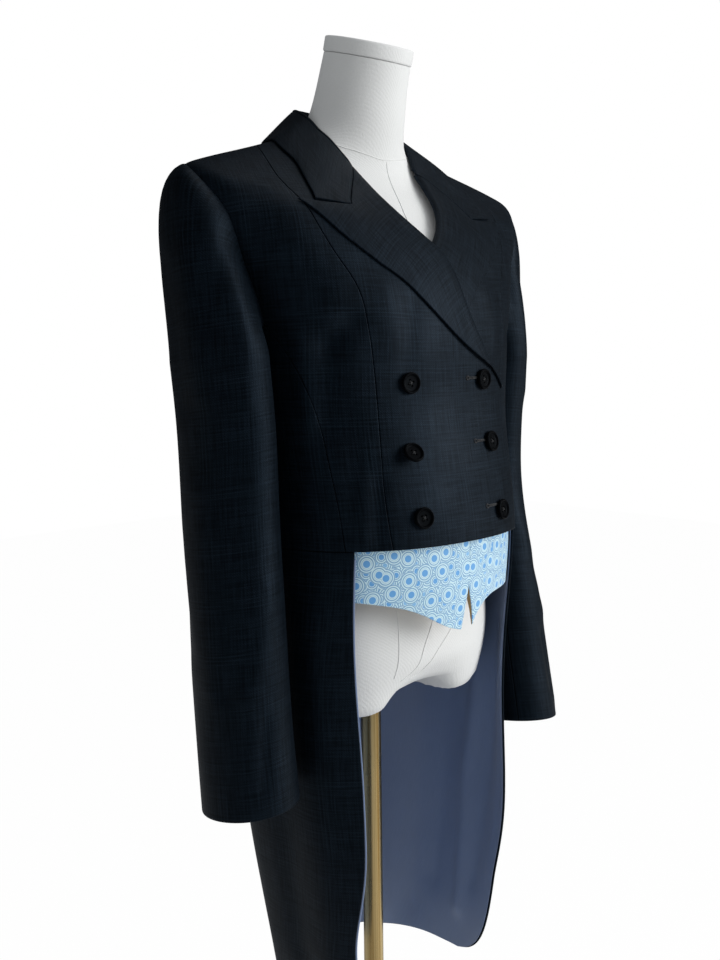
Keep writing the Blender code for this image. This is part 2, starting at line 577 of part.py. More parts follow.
def sleeve_grid(word):
    """The inner face of a sleeve as a grid: round from the tip of the shoulder by the front, the armpit and
    the back, and down from the armhole to the cuff. The head leaves the armhole outwards and turns down."""
    side = SIDES[word]
    armhole = joined(along(ARMHOLE_FRONT, 9)[::-1], along(ARMHOLE_UNDER, 6), along(ARMHOLE_BACK, 9))
    start = on_side(side, armhole[:, 0], armhole[:, 1], CLOTH + SEAM)
    turn = np.radians(joined(straight(90, -50, 9), straight(-50, -130, 6), straight(-130, -270, 9)))
    table = columns(SLEEVE_COLUMNS, SLEEVE_RINGS[word][::-1])
    sizes = np.stack([table[name] for name in SLEEVE_COLUMNS.split()[1:]], 1)

    def ring(level):
        middle_x, middle_y, half_width, half_depth = curve_through(table["level"], sizes, level)
        x = side * (middle_x + half_width * np.sin(turn))
        y = middle_y - half_depth * np.cos(turn)
        return np.stack([x, y, np.full_like(turn, level)], -1)

    first = ring(SLEEVE_LEVELS[0])
    drop = (start[:, 2] - first[:, 2])[:, None]
    head = smooth_step(drop / HEAD_HIGH)
    reach_at_head, reach_by_drop = HEAD_REACH[word]
    reach = LEAST_REACH + (reach_at_head - LEAST_REACH) * head + reach_by_drop * drop
    leave = np.stack([side * np.ones_like(turn), LEAVE_ALONG * np.cos(turn), LEAVE_UP * np.sin(turn)], -1)
    arrive = np.array([0, 0, -1.0]) * (DROP_LEAST + DROP_MORE * head + DROP_SHARE * drop)
    grid = []
    for t in HEAD_STEPS:
        grid.append((2 * t**3 - 3 * t**2 + 1) * start + (t**3 - 2 * t**2 + t) * leave * reach
                    + (3 * t**2 - 2 * t**3) * first + (t**3 - t**2) * arrive)
    grid += [ring(level) for level in (*SLEEVE_LEVELS, CUFF[word])]
    grid = np.array(grid)
    rise = CUFF_RISE * (CUFF_FRONT * np.cos(turn) - CUFF_OUTSIDE * np.sin(turn))
    share = smooth_step((CUFF_FROM - grid[..., 2]) / (CUFF_FROM - CUFF[word]))
    grid[..., 2] += share * rise
    return grid.transpose(1, 0, 2)


def make_sleeves():
    """Each sleeve in two, an upper and an under sleeve, with seams down its front and its back."""
    for word in SIDES:
        grid = sleeve_grid(word)
        middle = grid.mean(axis=0)
        ends = {"upper": np.r_[15:21, 0:9], "under": np.r_[8:16]}
        ring = grid[:-1]
        normal = unit(np.cross(np.roll(ring, -1, 0) - np.roll(ring, 1, 0), np.gradient(ring, axis=1)))
        if (normal * (ring - middle)).sum() < 0:
            normal = -normal
        for name, index in ends.items():
            index = index % len(ring)
            gaps = {"left": SEAM * 0.75, "right": SEAM * 0.75, "bottom": 0.0, "top": 0.0}
            inner = drawn_in(ring[index], **gaps)
            outer = drawn_in((ring + normal * CLOTH)[index], **gaps)
            cloth(f"{name}_sleeve_{word}", inner, outer, "suiting")


def make_waistcoat():
    """The two points of a waistcoat, sewn in under the hem, parted by a slit that opens downwards."""
    for word, side in SIDES.items():
        lower = along(WAISTCOAT[word], 9)
        slit = along(SLIT[word], 6)
        side_edge = straight(lower[0], (WAISTCOAT_SIDE, WAISTCOAT_TOP), 6)
        places = filled_in(lower, straight(side_edge[-1], slit[-1], 9), side_edge, slit)
        angle, level = side * places[..., 0], places[..., 1]
        tucked = WAISTCOAT_INSET * smooth_step((WAISTCOAT_TOP - level) / INSET_HIGH)
        inner = body(angle, level, -tucked - WAISTCOAT_GAP - SATIN)
        outer = body(angle, level, -tucked - WAISTCOAT_GAP)
        cloth(f"waistcoat_{word}", drawn_in(inner), drawn_in(outer), "jacquard")


def make_buttons():
    """Six flat buttons with a raised rim on the right front. The middle one of the side column hangs loose,
    tipped forward."""
    r = BUTTON_RADIUS
    profile = [(0, 0), (0.60 * r, 0), (0.93 * r, 0.0009), (r, 0.0022), (0.94 * r, 0.0036), (0.80 * r, 0.0041),
               (0.70 * r, 0.0035), (0.60 * r, 0.0024), (0, 0.0022)]
    for name, rows in BUTTON_ROWS.items():
        table = columns(BUTTON_COLUMNS, rows)
        for number, (angle, level, tip) in enumerate(zip(*table.values()), 1):
            made = turned(f"{name}_{number}", profile, BUTTON_SIDES, "horn")
            on_cloth = on_side(RIGHT, angle, level, CLOTH)
            normal = on_side(RIGHT, angle, level, CLOTH + 1.0) - on_cloth
            lean = unit(np.cross(normal, (0, 0, 1)))
            hang = math.radians(tip)
            axis = normal * math.cos(hang) + np.cross(lean, normal) * math.sin(hang)
            away = BUTTON_STANDOFF + max(out * math.sin(hang) - up * math.cos(hang) for out, up in profile)
            frame = np.eye(4)
            frame[:3, 0] = np.cross(lean, axis)
            frame[:3, 1] = np.cross(axis, frame[:3, 0])
            frame[:3, 2] = axis
            frame[:3, 3] = on_cloth + normal * away
            made.matrix_world = frame.T.tolist()


def bell(x, half, power):
    """1 at the middle, falling off about half away from it, the more steeply the higher the power."""
    return np.exp(-(np.abs(x / half) ** power))


def make_form():
    """The dress form: a closed torso with a neck. It rests the coat on its shoulders, and ends below in two
    short stubs with an arch between them."""
    sides = 28
    theta = np.linspace(0, 360, sides, endpoint=False)
    trunk = (0.885, 0.905, 0.935, 0.975, 1.02, 1.06, 1.10, 1.15, 1.20, 1.245, 1.285, 1.32, 1.35, 1.375)
    shoulders = (1.40, 1.43, 1.46, 1.49)
    neck = (1.515, 1.530, 1.545, 1.575, 1.61, 1.650)
    rings = [ring_point(FORM_RINGS, theta, level) for level in trunk]
    slack = FORM_CLEAR + FORM_SLACK * np.abs(np.cos(np.radians(theta))) ** 0.6
    tip_slack = np.interp(shoulders, shoulders[:2], (FORM_SLACK / 3, 0.0))
    rings += [body(theta, np.full(sides, level), -slack - more) for level, more in zip(shoulders, tip_slack)]
    rings += [ring_point(FORM_RINGS, theta, level) for level in neck]
    for level, ring in zip(trunk + shoulders + neck, rings):
        if level > NECK_BASE:
            front, back = ring[0], ring[sides // 2]
            ring[:, 2] = front[2] + (ring[:, 1] - front[1]) * (back[2] - front[2]) / (back[1] - front[1])
    middle = np.array([0, FORM_MIDDLE_Y, 0])
    bottom = rings[0].copy()
    under = []
    for share in UNDER_SHARES:
        ring = middle + (bottom - middle) * share
        ring[:, 2] = STUB_LOW + STUB_ROUND * (1 - math.sqrt(1 - share**4))
        under.append(ring)
    rings = under + rings
    for ring in rings:
        low = smooth_step((STUB_LOW + CLEFT_HIGH - ring[:, 2]) / CLEFT_HIGH)
        edgewise = (ring[:, 1] / FORM_DEPTH) ** 3
        rise = (ARCH_TOP - ring[:, 2]).clip(0) * bell(ring[:, 0], ARCH_HALF, 4)
        ring[:, 1] -= CLEFT_DEEP * edgewise * bell(ring[:, 0], CLEFT_HALF, 2) * low
        ring[:, 2] += rise
    ends = [(0, FORM_MIDDLE_Y, ARCH_TOP), tuple(rings[-1].mean(axis=0))]
    vertices = np.concatenate(rings + [np.array(ends)])
    low, high = len(vertices) - 2, len(vertices) - 1
    last = (len(rings) - 1) * sides
    faces = []
    for k in range(sides):
        after = (k + 1) % sides
        faces.append([low, after, k])
        faces.append([high, last + k, last + after])
        faces += [[r + k, r + after, r + sides + after, r + sides + k] for r in range(0, last, sides)]
    new_object("dress_form", vertices, faces, "linen")


def make_neck_cap():
    """The flat cap on the neck, tilted with it."""
    r, high = CAP_RADIUS, CAP_THICK
    profile = [(0, 0), (r - CAP_BEVEL, 0), (r, CAP_BEVEL), (r, high - CAP_ROUND),
               (r - CAP_BEVEL, high - CAP_BEVEL), (r - CAP_ROUND, high), (0, high)]
    cap = turned("neck_cap", profile, 36, "linen")
    front, back = (ring_point(FORM_RINGS, angle, FORM_RINGS[-1][0]) for angle in (0, 180))
    backwards = unit(back - front)
    axis = np.cross((1, 0, 0), backwards)
    frame = np.eye(4)
    frame[:3, 0] = 1, 0, 0
    frame[:3, 1] = backwards
    frame[:3, 2] = axis
    frame[:3, 3] = (front + back) / 2 + axis * SEAM
    cap.matrix_world = frame.T.tolist()


def make_stand():
    """The brass pole from the form's underside to the foot, which is a heavy round plate with a socket."""
    foot_top, socket_top, edge = FOOT_THICK, FOOT_THICK + SOCKET_HEIGHT, FOOT_BEVEL
    bottom, top = socket_top + SEAM, ARCH_TOP - POLE_GAP
    turned("pole", [(0, bottom), (POLE_RADIUS, bottom), (POLE_RADIUS, top), (0, top)], 24, "brass")
    profile = [(0, 0), (FOOT_RADIUS - edge, 0), (FOOT_RADIUS, edge), (FOOT_RADIUS, foot_top - edge),
               (FOOT_RADIUS - edge, foot_top), (SOCKET_RADIUS + edge, foot_top),
               (SOCKET_RADIUS, foot_top + edge), (SOCKET_RADIUS, socket_top - edge),
               (SOCKET_RADIUS - edge, socket_top), (0, socket_top)]
    turned("foot_plate", profile, 40, "brass")


def main():
    for old in list(bpy.data.objects):
        bpy.data.objects.remove(old)
    make_form()
    make_neck_cap()
    make_stand()
    make_fronts()
    make_side_bodies()
    make_backs()
    make_tails()
    make_lapels()
    make_collar()
    make_sleeves()
    make_waistcoat()
    make_buttons()


main()
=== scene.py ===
# %% [markdown]
# # A dressage tailcoat on a dress form
# The coat is a short double breasted front, two long tails and two hanging sleeves, on a limbless dress
# form that stands on a brass pole. The frame holds its solids, which give every place and size. The cloth
# is plain there, so this script makes each panel again as a fine shell on the same surface, with its turned
# edges, folds and weave.

# %% The frame
import math

import bmesh
import bpy
import numpy as np
from mathutils.bvhtree import BVHTree
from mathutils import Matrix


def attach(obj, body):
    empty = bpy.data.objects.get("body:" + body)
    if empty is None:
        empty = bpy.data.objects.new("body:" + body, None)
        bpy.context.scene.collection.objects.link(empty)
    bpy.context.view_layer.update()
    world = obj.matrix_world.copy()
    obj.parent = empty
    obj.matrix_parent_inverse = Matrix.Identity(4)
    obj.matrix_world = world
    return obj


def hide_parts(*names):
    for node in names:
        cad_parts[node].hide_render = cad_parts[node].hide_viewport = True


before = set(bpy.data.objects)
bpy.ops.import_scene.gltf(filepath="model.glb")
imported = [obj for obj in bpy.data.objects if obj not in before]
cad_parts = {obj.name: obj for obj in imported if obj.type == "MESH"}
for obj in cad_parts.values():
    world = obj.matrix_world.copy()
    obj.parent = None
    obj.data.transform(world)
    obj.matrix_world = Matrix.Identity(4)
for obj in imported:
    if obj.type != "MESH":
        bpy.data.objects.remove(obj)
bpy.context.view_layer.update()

# %% [markdown]
# ## One surface under every panel
# A tailor shapes flat panels until they fit round one body. The other way round works well in numpy: first
# one body surface, then each panel as the patch between its seams. A place on it is an angle round the
# body, 0 at the centre front, and a level up it. Angles count from the front towards a piece's own side.

# %% Small tools for arrays
RIGHT, LEFT = -1, 1
SIDES = {"right": RIGHT, "left": LEFT}


def columns(names, rows):
    """A table's rows as one array for each named column."""
    return dict(zip(names.split(), np.array(rows, float).T))


def smooth_step(x):
    """0 below 0, 1 above 1, and between them 3 x squared less 2 x cubed."""
    x = np.clip(x, 0.0, 1.0)
    return x * x * (3 - 2 * x)


def unit(vectors):
    """The vectors at length 1."""
    length = np.linalg.norm(vectors, axis=-1, keepdims=True)
    return vectors / np.where(length > 0, length, 1.0)


def curve_through(x, y, at):
    """Natural cubic spline: a chain of cubics through (x, y) whose slope and bend agree where they meet."""
    x, y, at = np.asarray(x, float), np.asarray(y, float), np.asarray(at, float)
    step = np.diff(x)
    matrix = np.eye(len(x))
    wanted = np.zeros_like(y)
    inner = np.arange(1, len(x) - 1)
    matrix[inner, inner - 1] = step[:-1]
    matrix[inner, inner] = 2 * (step[:-1] + step[1:])
    matrix[inner, inner + 1] = step[1:]
    slope = np.diff(y, axis=0) / step.reshape(-1, *[1] * (y.ndim - 1))
    wanted[1:-1] = 6 * np.diff(slope, axis=0)
    bend = np.linalg.solve(matrix, wanted.reshape(len(x), -1)).reshape(y.shape)
    i = np.clip(np.searchsorted(x, at) - 1, 0, len(x) - 2)
    more = (...,) + (None,) * (y.ndim - 1)
    before, after, span = (at - x[i])[more], (x[i + 1] - at)[more], step[i][more]
    return ((bend[i] * after**3 + bend[i + 1] * before**3) / (6 * span)
            + (y[i] / span - bend[i] * span / 6) * after
            + (y[i + 1] / span - bend[i + 1] * span / 6) * before)


halfway = curve_through([0, 1, 2], [0, 1, 4], [1.5])[0]
print("a spline through 0, 1, 4 reads", round(float(halfway), 3), "at 1.5")

# %% The body surface
CLOTH, SATIN, LAID, LINING_GAP = 0.0014, 0.0010, 0.0009, 0.0007
HEM, TAIL_HEM, SHOULDER_TIP, NECKLINE = 1.046, 0.566, 1.385, 1.502
RING_COLUMNS = "level half_width front back centre_y side_z front_z back_z power"
BODY_RINGS = [
    (0.540, 0.100, 0.120, 0.072, 0.000, 0.540, 0.540, 0.540, 2.20),
    (0.640, 0.117, 0.138, 0.081, 0.000, 0.640, 0.640, 0.640, 2.20),
    (0.740, 0.132, 0.139, 0.098, 0.000, 0.740, 0.740, 0.740, 2.20),
    (0.840, 0.143, 0.126, 0.112, 0.000, 0.840, 0.840, 0.840, 2.20),
    (0.930, 0.147, 0.126, 0.118, 0.000, 0.930, 0.930, 0.930, 2.20),
    (1.045, 0.146, 0.136, 0.106, 0.000, 1.045, 1.045, 1.045, 2.30),
    (1.105, 0.146, 0.127, 0.100, 0.000, 1.105, 1.105, 1.105, 2.35),
    (1.165, 0.150, 0.116, 0.101, 0.000, 1.165, 1.165, 1.165, 2.35),
    (1.245, 0.161, 0.112, 0.107, 0.000, 1.245, 1.242, 1.245, 2.35),
    (1.310, 0.183, 0.104, 0.109, 0.003, 1.310, 1.290, 1.305, 2.20),
    (1.385, 0.205, 0.086, 0.098, 0.007, 1.385, 1.335, 1.360, 1.95),
    (1.400, 0.196, 0.082, 0.094, 0.008, 1.3898, 1.343, 1.370, 1.90),
    (1.425, 0.170, 0.076, 0.088, 0.011, 1.3980, 1.356, 1.387, 1.84),
    (1.455, 0.139, 0.068, 0.080, 0.015, 1.407, 1.370, 1.405, 1.80),
    (1.525, 0.071, 0.050, 0.066, 0.026, 1.428, 1.400, 1.438, 1.90),
]


def ring_point(rings, theta, level):
    """A point of a ringed surface. Each ring is a superellipse, (x / a)^p + (y / b)^p = 1, with its own b
    in front and behind, and its height eases from the sides to the front and the back."""
    theta, level = np.broadcast_arrays(np.asarray(theta, float), np.asarray(level, float))
    table = columns(RING_COLUMNS, rings)
    sizes = np.stack([table[name] for name in RING_COLUMNS.split()[1:]], 1)
    half_width, front, back, centre_y, side_z, front_z, back_z, power = np.moveaxis(
        curve_through(table["level"], sizes, level), -1, 0)
    across, ahead = np.sin(np.radians(theta)), np.cos(np.radians(theta))
    depth = np.where(ahead > 0, front, back)
    radius = (np.abs(across / half_width) ** power + np.abs(ahead / depth) ** power) ** (-1 / power)
    end_z = np.where(ahead > 0, front_z, back_z)
    z = side_z + (end_z - side_z) * np.clip(radius * np.abs(ahead) / depth, 0, 1) ** 1.4
    return np.stack([radius * across, centre_y - radius * ahead, z], -1)


def body(theta, level, out=0.0):
    """The body surface, moved out along its normal, which is the cross product of its two slopes."""
    angle_step, level_step = 0.5, 0.001
    round_it = (ring_point(BODY_RINGS, theta + angle_step, level)
                - ring_point(BODY_RINGS, theta - angle_step, level))
    up_it = (ring_point(BODY_RINGS, theta, level + level_step)
             - ring_point(BODY_RINGS, theta, level - level_step))
    normal = unit(np.cross(round_it, up_it))
    return ring_point(BODY_RINGS, theta, level) + normal * np.asarray(out)[..., None]


WAIST = 1.105
waist = body(np.arange(0, 360, 5.0), np.full(72, WAIST))
print("waist round", round(float(np.linalg.norm(waist - np.roll(waist, 1, 0), axis=1).sum()), 3), "m")

# %% [markdown]
# ## Folds
# Worn cloth is never quite even: it hollows beside the bust, drags from the sleeve head and hangs in soft
# tubes. Each fold is a long soft ridge or trough between two places, and their sum moves the whole surface.
# As every layer reads the same sum, a lapel follows the front that it lies on and the seams stay closed.

# %% Folds of the body's cloth
DEGREE = 0.0025
BODY_FOLDS = [
    # side, angle, level, to angle, to level, half width, height
    (RIGHT, 72.7, 1.380, 72.7, 1.320, 0.011, -0.0020),
    (RIGHT, 64, 1.372, 62, 1.320, 0.012, 0.0012),
    (RIGHT, 48.8, 1.252, 56, 1.230, 0.012, -0.0040),
    (RIGHT, 56, 1.230, 57.3, 1.150, 0.011, -0.0036),
    (RIGHT, 66, 1.240, 63, 1.164, 0.010, 0.0026),
    (RIGHT, 51, 1.170, 46, 1.080, 0.012, -0.0016),
    (RIGHT, 36, 1.288, 34, 1.229, 0.014, 0.0010),
    (RIGHT, 24, 1.268, 27, 1.215, 0.012, -0.0012),
    (RIGHT, 40.1, 1.105, 40.2, 1.056, 0.008, -0.0016),
    (RIGHT, 45, 1.110, 45, 1.052, 0.008, 0.0014),
    (RIGHT, 5, 1.150, 30, 1.160, 0.020, 0.0007),
    (RIGHT, 0, 1.100, 24, 1.095, 0.018, -0.0007),
    (LEFT, 64, 1.376, 69, 1.322, 0.012, -0.0015),
    (LEFT, 50, 1.272, 60, 1.228, 0.014, -0.0020),
    (LEFT, 60, 1.235, 59, 1.150, 0.012, -0.0012),
    (LEFT, 33, 1.290, 36, 1.230, 0.015, 0.0014),
    (LEFT, 44, 1.120, 42, 1.050, 0.012, 0.0012),
    (RIGHT, 118, 1.345, 128, 1.300, 0.016, -0.0018),
    (RIGHT, 140, 1.330, 150, 1.260, 0.018, 0.0014),
    (RIGHT, 120, 1.210, 134, 1.140, 0.015, -0.0014),
    (LEFT, 116, 1.342, 127, 1.295, 0.016, -0.0017),
    (LEFT, 142, 1.325, 149, 1.250, 0.018, 0.0013),
    (LEFT, 118, 1.200, 131, 1.135, 0.015, -0.0015),
    (RIGHT, 96, 1.190, 98, 1.100, 0.013, 0.0012),
    (LEFT, 95, 1.185, 98, 1.090, 0.013, 0.0012),
    (RIGHT, 64, 0.980, 60, 0.640, 0.020, 0.0030),
    (RIGHT, 82, 1.000, 80, 0.640, 0.020, -0.0030),
    (RIGHT, 104, 0.990, 108, 0.590, 0.022, 0.0035),
    (RIGHT, 128, 0.960, 130, 0.580, 0.022, -0.0030),
    (RIGHT, 160, 0.940, 158, 0.580, 0.022, 0.0030),
    (LEFT, 78.2, 0.900, 82.2, 0.757, 0.011, -0.0055),
    (LEFT, 82.2, 0.740, 76.8, 0.600, 0.011, -0.0045),
    (LEFT, 66, 0.930, 68, 0.640, 0.012, 0.0030),
    (LEFT, 56, 0.900, 55, 0.660, 0.008, -0.0018),
    (LEFT, 96, 1.000, 98, 0.620, 0.016, 0.0032),
    (LEFT, 108, 0.980, 110, 0.590, 0.022, 0.0035),
    (LEFT, 132, 0.960, 134, 0.580, 0.022, -0.0030),
    (LEFT, 158, 0.930, 156, 0.580, 0.022, 0.0026),
]


def folds(table, across, up):
    """The sum of soft ridges: each is its height times e to the minus square of the distance from its line,
    in half widths. Both places are in metres on the cloth."""
    total = np.zeros(np.broadcast(across, up).shape)
    for x0, y0, x1, y1, half, height in table:
        run, rise = x1 - x0, y1 - y0
        share = np.clip(((across - x0) * run + (up - y0) * rise) / (run * run + rise * rise), 0, 1)
        distance = np.hypot(across - x0 - share * run, up - y0 - share * rise)
        total += height * np.exp(-((distance / half) ** 2))
    return total


LAPPED, LAPPED_FULL, LAPPED_NONE, LAP_TOP, LAP_FADE = 0.0046, 52.0, 84.0, 1.45, 0.08
VENT_TOP, VENT_LAP, VENT_SINK, VENT_BLEND, VENT_FROM, VENT_EASE = 1.010, 0.030, 0.0046, 0.035, 166.0, 9.0


def layer(side, angle, level):
    """How far a side's cloth stands off the body: the right front laps over the left one, the left tail's
    vent edge runs under the right one, and the folds move them."""
    own = [(a * DEGREE, v, b * DEGREE, w, half, height)
           for s, a, v, b, w, half, height in BODY_FOLDS if s == side]
    moved = folds(own, angle * DEGREE, level)
    if side == RIGHT:
        across = smooth_step((LAPPED_NONE - angle) / (LAPPED_NONE - LAPPED_FULL))
        return moved + LAPPED * across * smooth_step((LAP_TOP - level) / LAP_FADE)
    low = smooth_step((VENT_TOP + VENT_BLEND - level) / VENT_BLEND)
    under = smooth_step((angle - VENT_FROM) / VENT_EASE) * low
    return moved * (1 - under) - VENT_SINK * under


def on_side(side, angle, level, out=0.0):
    """A point of one side's cloth, moved out from its inner face."""
    return body(side * angle, level, layer(side, angle, level) + out)


print(len(BODY_FOLDS), "folds, the deepest", max(abs(row[-1]) for row in BODY_FOLDS) * 1000, "mm")

# %% [markdown]
# ## Seams
# A seam is a row of places. Four of them round a patch make a panel, and a Coons patch fills it in: the
# blend of the two pairs of edges, less the blend of the corners. The rows stand close together near the
# edges, where the cloth turns in, and a few millimetres apart elsewhere.

# %% Places on seams and panels
PRINCESS = [(35, HEM), (37, 1.08), (39, 1.14), (41, 1.20), (43, 1.245), (47, 1.293), (53, 1.324), (58, 1.352),
            (65, 1.392), (72, 1.42), (83, 1.46), (90, 1.475)]
FRONT_EDGE = [(-34, HEM), (-34, 1.100), (-35, 1.133), (-37, 1.182)]
ROLL_LINE = [(-37, 1.182), (-28, 1.207), (-20, 1.232), (-14, 1.256), (-10, 1.290), (-8, 1.318), (-4, 1.342),
             (7, 1.371), (18, 1.402), (29, 1.448), (41, NECKLINE)]
SIDE_SEAM = [(51, HEM), (53, 1.08), (55, 1.105), (60, 1.16), (67, 1.21), (77, 1.25)]
ARMHOLE_FRONT = [(77, 1.25), (78, 1.281), (79, 1.306), (79, 1.33), (80, 1.349), (85, 1.371),
                 (90, SHOULDER_TIP)]
ARMHOLE_UNDER = [(77, 1.25), (86, 1.232), (97, 1.232), (106, 1.262)]
ARMHOLE_BACK = [(106, 1.262), (106, 1.30), (103, 1.335), (97, 1.367), (90, SHOULDER_TIP)]
BACK_SEAM = [(152, HEM), (150, 1.09), (143, 1.14), (132, 1.19), (118, 1.235), (106, 1.262)]
TAIL_BACK_SEAM = [(146, TAIL_HEM), (148, 0.74), (150, 0.93), (152, HEM)]
TAIL_EDGE = [(72, 0.5565), (62, 0.565), (53, 0.587), (50, 0.62), (50, 0.66), (48, 0.698), (46, 0.738),
             (46, 0.784), (47, 0.84), (49, 0.93), (49, 0.98), (48, HEM)]
TAIL_FOOT = [(72, 0.5565), (96, 0.5535), (122, 0.558), (146, TAIL_HEM)]
TAIL_STEPS = (0.0, 0.035, 0.09, 0.18, 0.36, 0.57, 0.78, 1.0)


def along(rows, shares):
    """Places at the given shares of a seam's length, on a spline through its rows."""
    rows = np.array(rows, float)
    length = np.r_[0, np.cumsum(np.linalg.norm(np.diff(rows * (DEGREE, 1.0), axis=0), axis=1))]
    return curve_through(length, rows, length[-1] * np.asarray(shares))


def follow(*stretches):
    """Seams that follow each other, as one function of t from 0 to 1. A number says how much each takes."""
    spans = np.array([span for rows, span in stretches], float)
    ends = np.r_[0, np.cumsum(spans) / spans.sum()]

    def place(t):
        parts = [along(rows, np.clip((t - low) / (high - low), 0, 1))
                 for (rows, span), low, high in zip(stretches, ends, ends[1:])]
        which = np.clip(np.searchsorted(ends, t, side="right") - 1, 0, len(parts) - 1)
        return np.stack(parts)[which, np.arange(len(t))]

    return place


def straight(start, end):
    """The straight seam between two places, as a function of t."""
    return follow(([start, end], 1))


def close_rows(length, step=0.004):
    """Shares of a length: close together within 3 mm of each end, and about one step apart between."""
    near = np.array([0.0, 0.0003, 0.0007, 0.0012, 0.0019])
    middle = np.linspace(0.003, length - 0.003, max(3, round(length / step)))
    return np.concatenate([near, middle, length - near[::-1]]) / length


def filled_in(bottom, top, left, right, s, t):
    """The Coons patch between four edges, each a function of its share, at every pair of s and t."""
    s, t = s[:, None, None], t[None, :, None]
    low, high, near, far = bottom(s[:, 0, 0]), top(s[:, 0, 0]), left(t[0, :, 0]), right(t[0, :, 0])
    corners = ((1 - s) * (1 - t) * low[0] + s * (1 - t) * low[-1] + (1 - s) * t * high[0] + s * t * high[-1])
    return (1 - t) * low[:, None] + t * high[:, None] + (1 - s) * near[None] + s * far[None] - corners


SHOULDER_SEAM = 1.475
front_top = follow(([(41, NECKLINE), (90, NECKLINE)], 7), ([(90, NECKLINE), (90, SHOULDER_SEAM)], 2))
front_rows = filled_in(straight((-34, HEM), (35, HEM)), front_top, follow((FRONT_EDGE, 4), (ROLL_LINE, 10)),
                       follow((PRINCESS, 1)), close_rows(0.17), close_rows(0.44))
print("a front panel has", front_rows.shape[0], "by", front_rows.shape[1], "places")

# %% [markdown]
# ## Colour, nodes and materials
# Colours are written as sRGB hex values, as a designer would note them, and made linear once. One helper
# adds a node with its settings and links, so that each material reads as a list of what it does. Patterns
# on cloth read the piece's own UV map, in metres, so a noise's scale is its number of grains in a metre.

# %% Colour and node helpers
def linear(hex_value):
    """Linear colour of an sRGB hex value: v / 12.92 in the darks, else ((v + 0.055) / 1.055) ** 2.4."""
    value = np.array([int(hex_value[k : k + 2], 16) / 255 for k in (1, 3, 5)])
    value = np.where(value <= 0.04045, value / 12.92, ((value + 0.055) / 1.055) ** 2.4)
    return (*value.tolist(), 1.0)


def connect(tree, node, inputs):
    """Fills a node's inputs, in order or by key. Each is a number, a colour or another node's socket."""
    for socket, value in inputs.items() if isinstance(inputs, dict) else enumerate(inputs):
        if isinstance(value, bpy.types.NodeSocket):
            tree.links.new(value, node.inputs[socket])
        else:
            node.inputs[socket].default_value = value


def add(tree, kind, inputs=(), **settings):
    """Adds a node with its settings and inputs. Gives its outputs."""
    made = tree.nodes.new(kind)
    for key, value in settings.items():
        setattr(made, key, value)
    connect(tree, made, inputs)
    return made.outputs


def new_material(name):
    """An empty node material with its Principled shader joined to the output."""
    made = bpy.data.materials.new(name)
    made.use_nodes = True
    return made, made.node_tree, made.node_tree.nodes["Principled BSDF"]


print("mid grey is", [round(v, 3) for v in linear("#808080")[:3]], "in linear light")

# %% [markdown]
# ## Worsted wool suiting
# The coat is a fine worsted in blue black: hard twisted yarn in a twill, pressed smooth, so it is matt face
# on and shines softly at a slant. A tonal windowpane runs through it, groups of three slightly lighter
# threads about five centimetres apart both ways. Real twill lines are 0.5 mm apart, too fine for this view,
# so they are drawn at 2.2 mm.

# %% Wool
# the last of these colours is painted shade, laid on the wool along its seams and edges
WOOL_DARK, WOOL_LIGHT, WOOL_PANE, WOOL_SEAM_SHADE = "#030507", "#0E161E", "#2E3D4A", "#020203"
WOOL_SHINE, WOOL_SHEEN, WOOL_ROUGH = "#8DB4DA", "#7F9ABC", 0.54
TWILL_PITCH, GLINT_LOW, GLINT_HIGH = 0.0022, 0.13, 0.25
PANE_REPEAT, PANE_PITCH, PANE_HALF, PANE_THREAD, PANE_SHOWS = 0.048, 0.0036, 0.0056, 0.00050, 0.10
# grains in a metre: a fibre is 1.1 mm, a pressed patch 70 mm, and a slub 1.6 mm wide and 36 mm long
FIBRES, PATCHES, SLUBS_ACROSS, SLUBS_ALONG = 900.0, 14.0, 620.0, 28.0
YARN_DEEP, SEAM_NEAR, SEAM_FAR = 0.0002, 0.0001, 0.0008
WAVE_PERIOD = math.pi / 10


def pane_threads(tree, way):
    """How much of a windowpane thread is at a place. Two ping pong folds give the distance from the middle
    of the group and then from the nearest of its threads, and the thread fades off over its half width."""
    from_group = add(tree, "ShaderNodeMath", (way, PANE_REPEAT / 2), operation="PINGPONG")[0]
    from_thread = add(tree, "ShaderNodeMath", (from_group, PANE_PITCH / 2), operation="PINGPONG")[0]
    thread = add(tree, "ShaderNodeMapRange", (from_thread, PANE_THREAD * 0.4, PANE_THREAD * 1.3, 1.0, 0.0))[0]
    in_group = add(tree, "ShaderNodeMath", (from_group, PANE_HALF), operation="LESS_THAN")[0]
    return add(tree, "ShaderNodeMath", (thread, in_group), operation="MULTIPLY")[0]


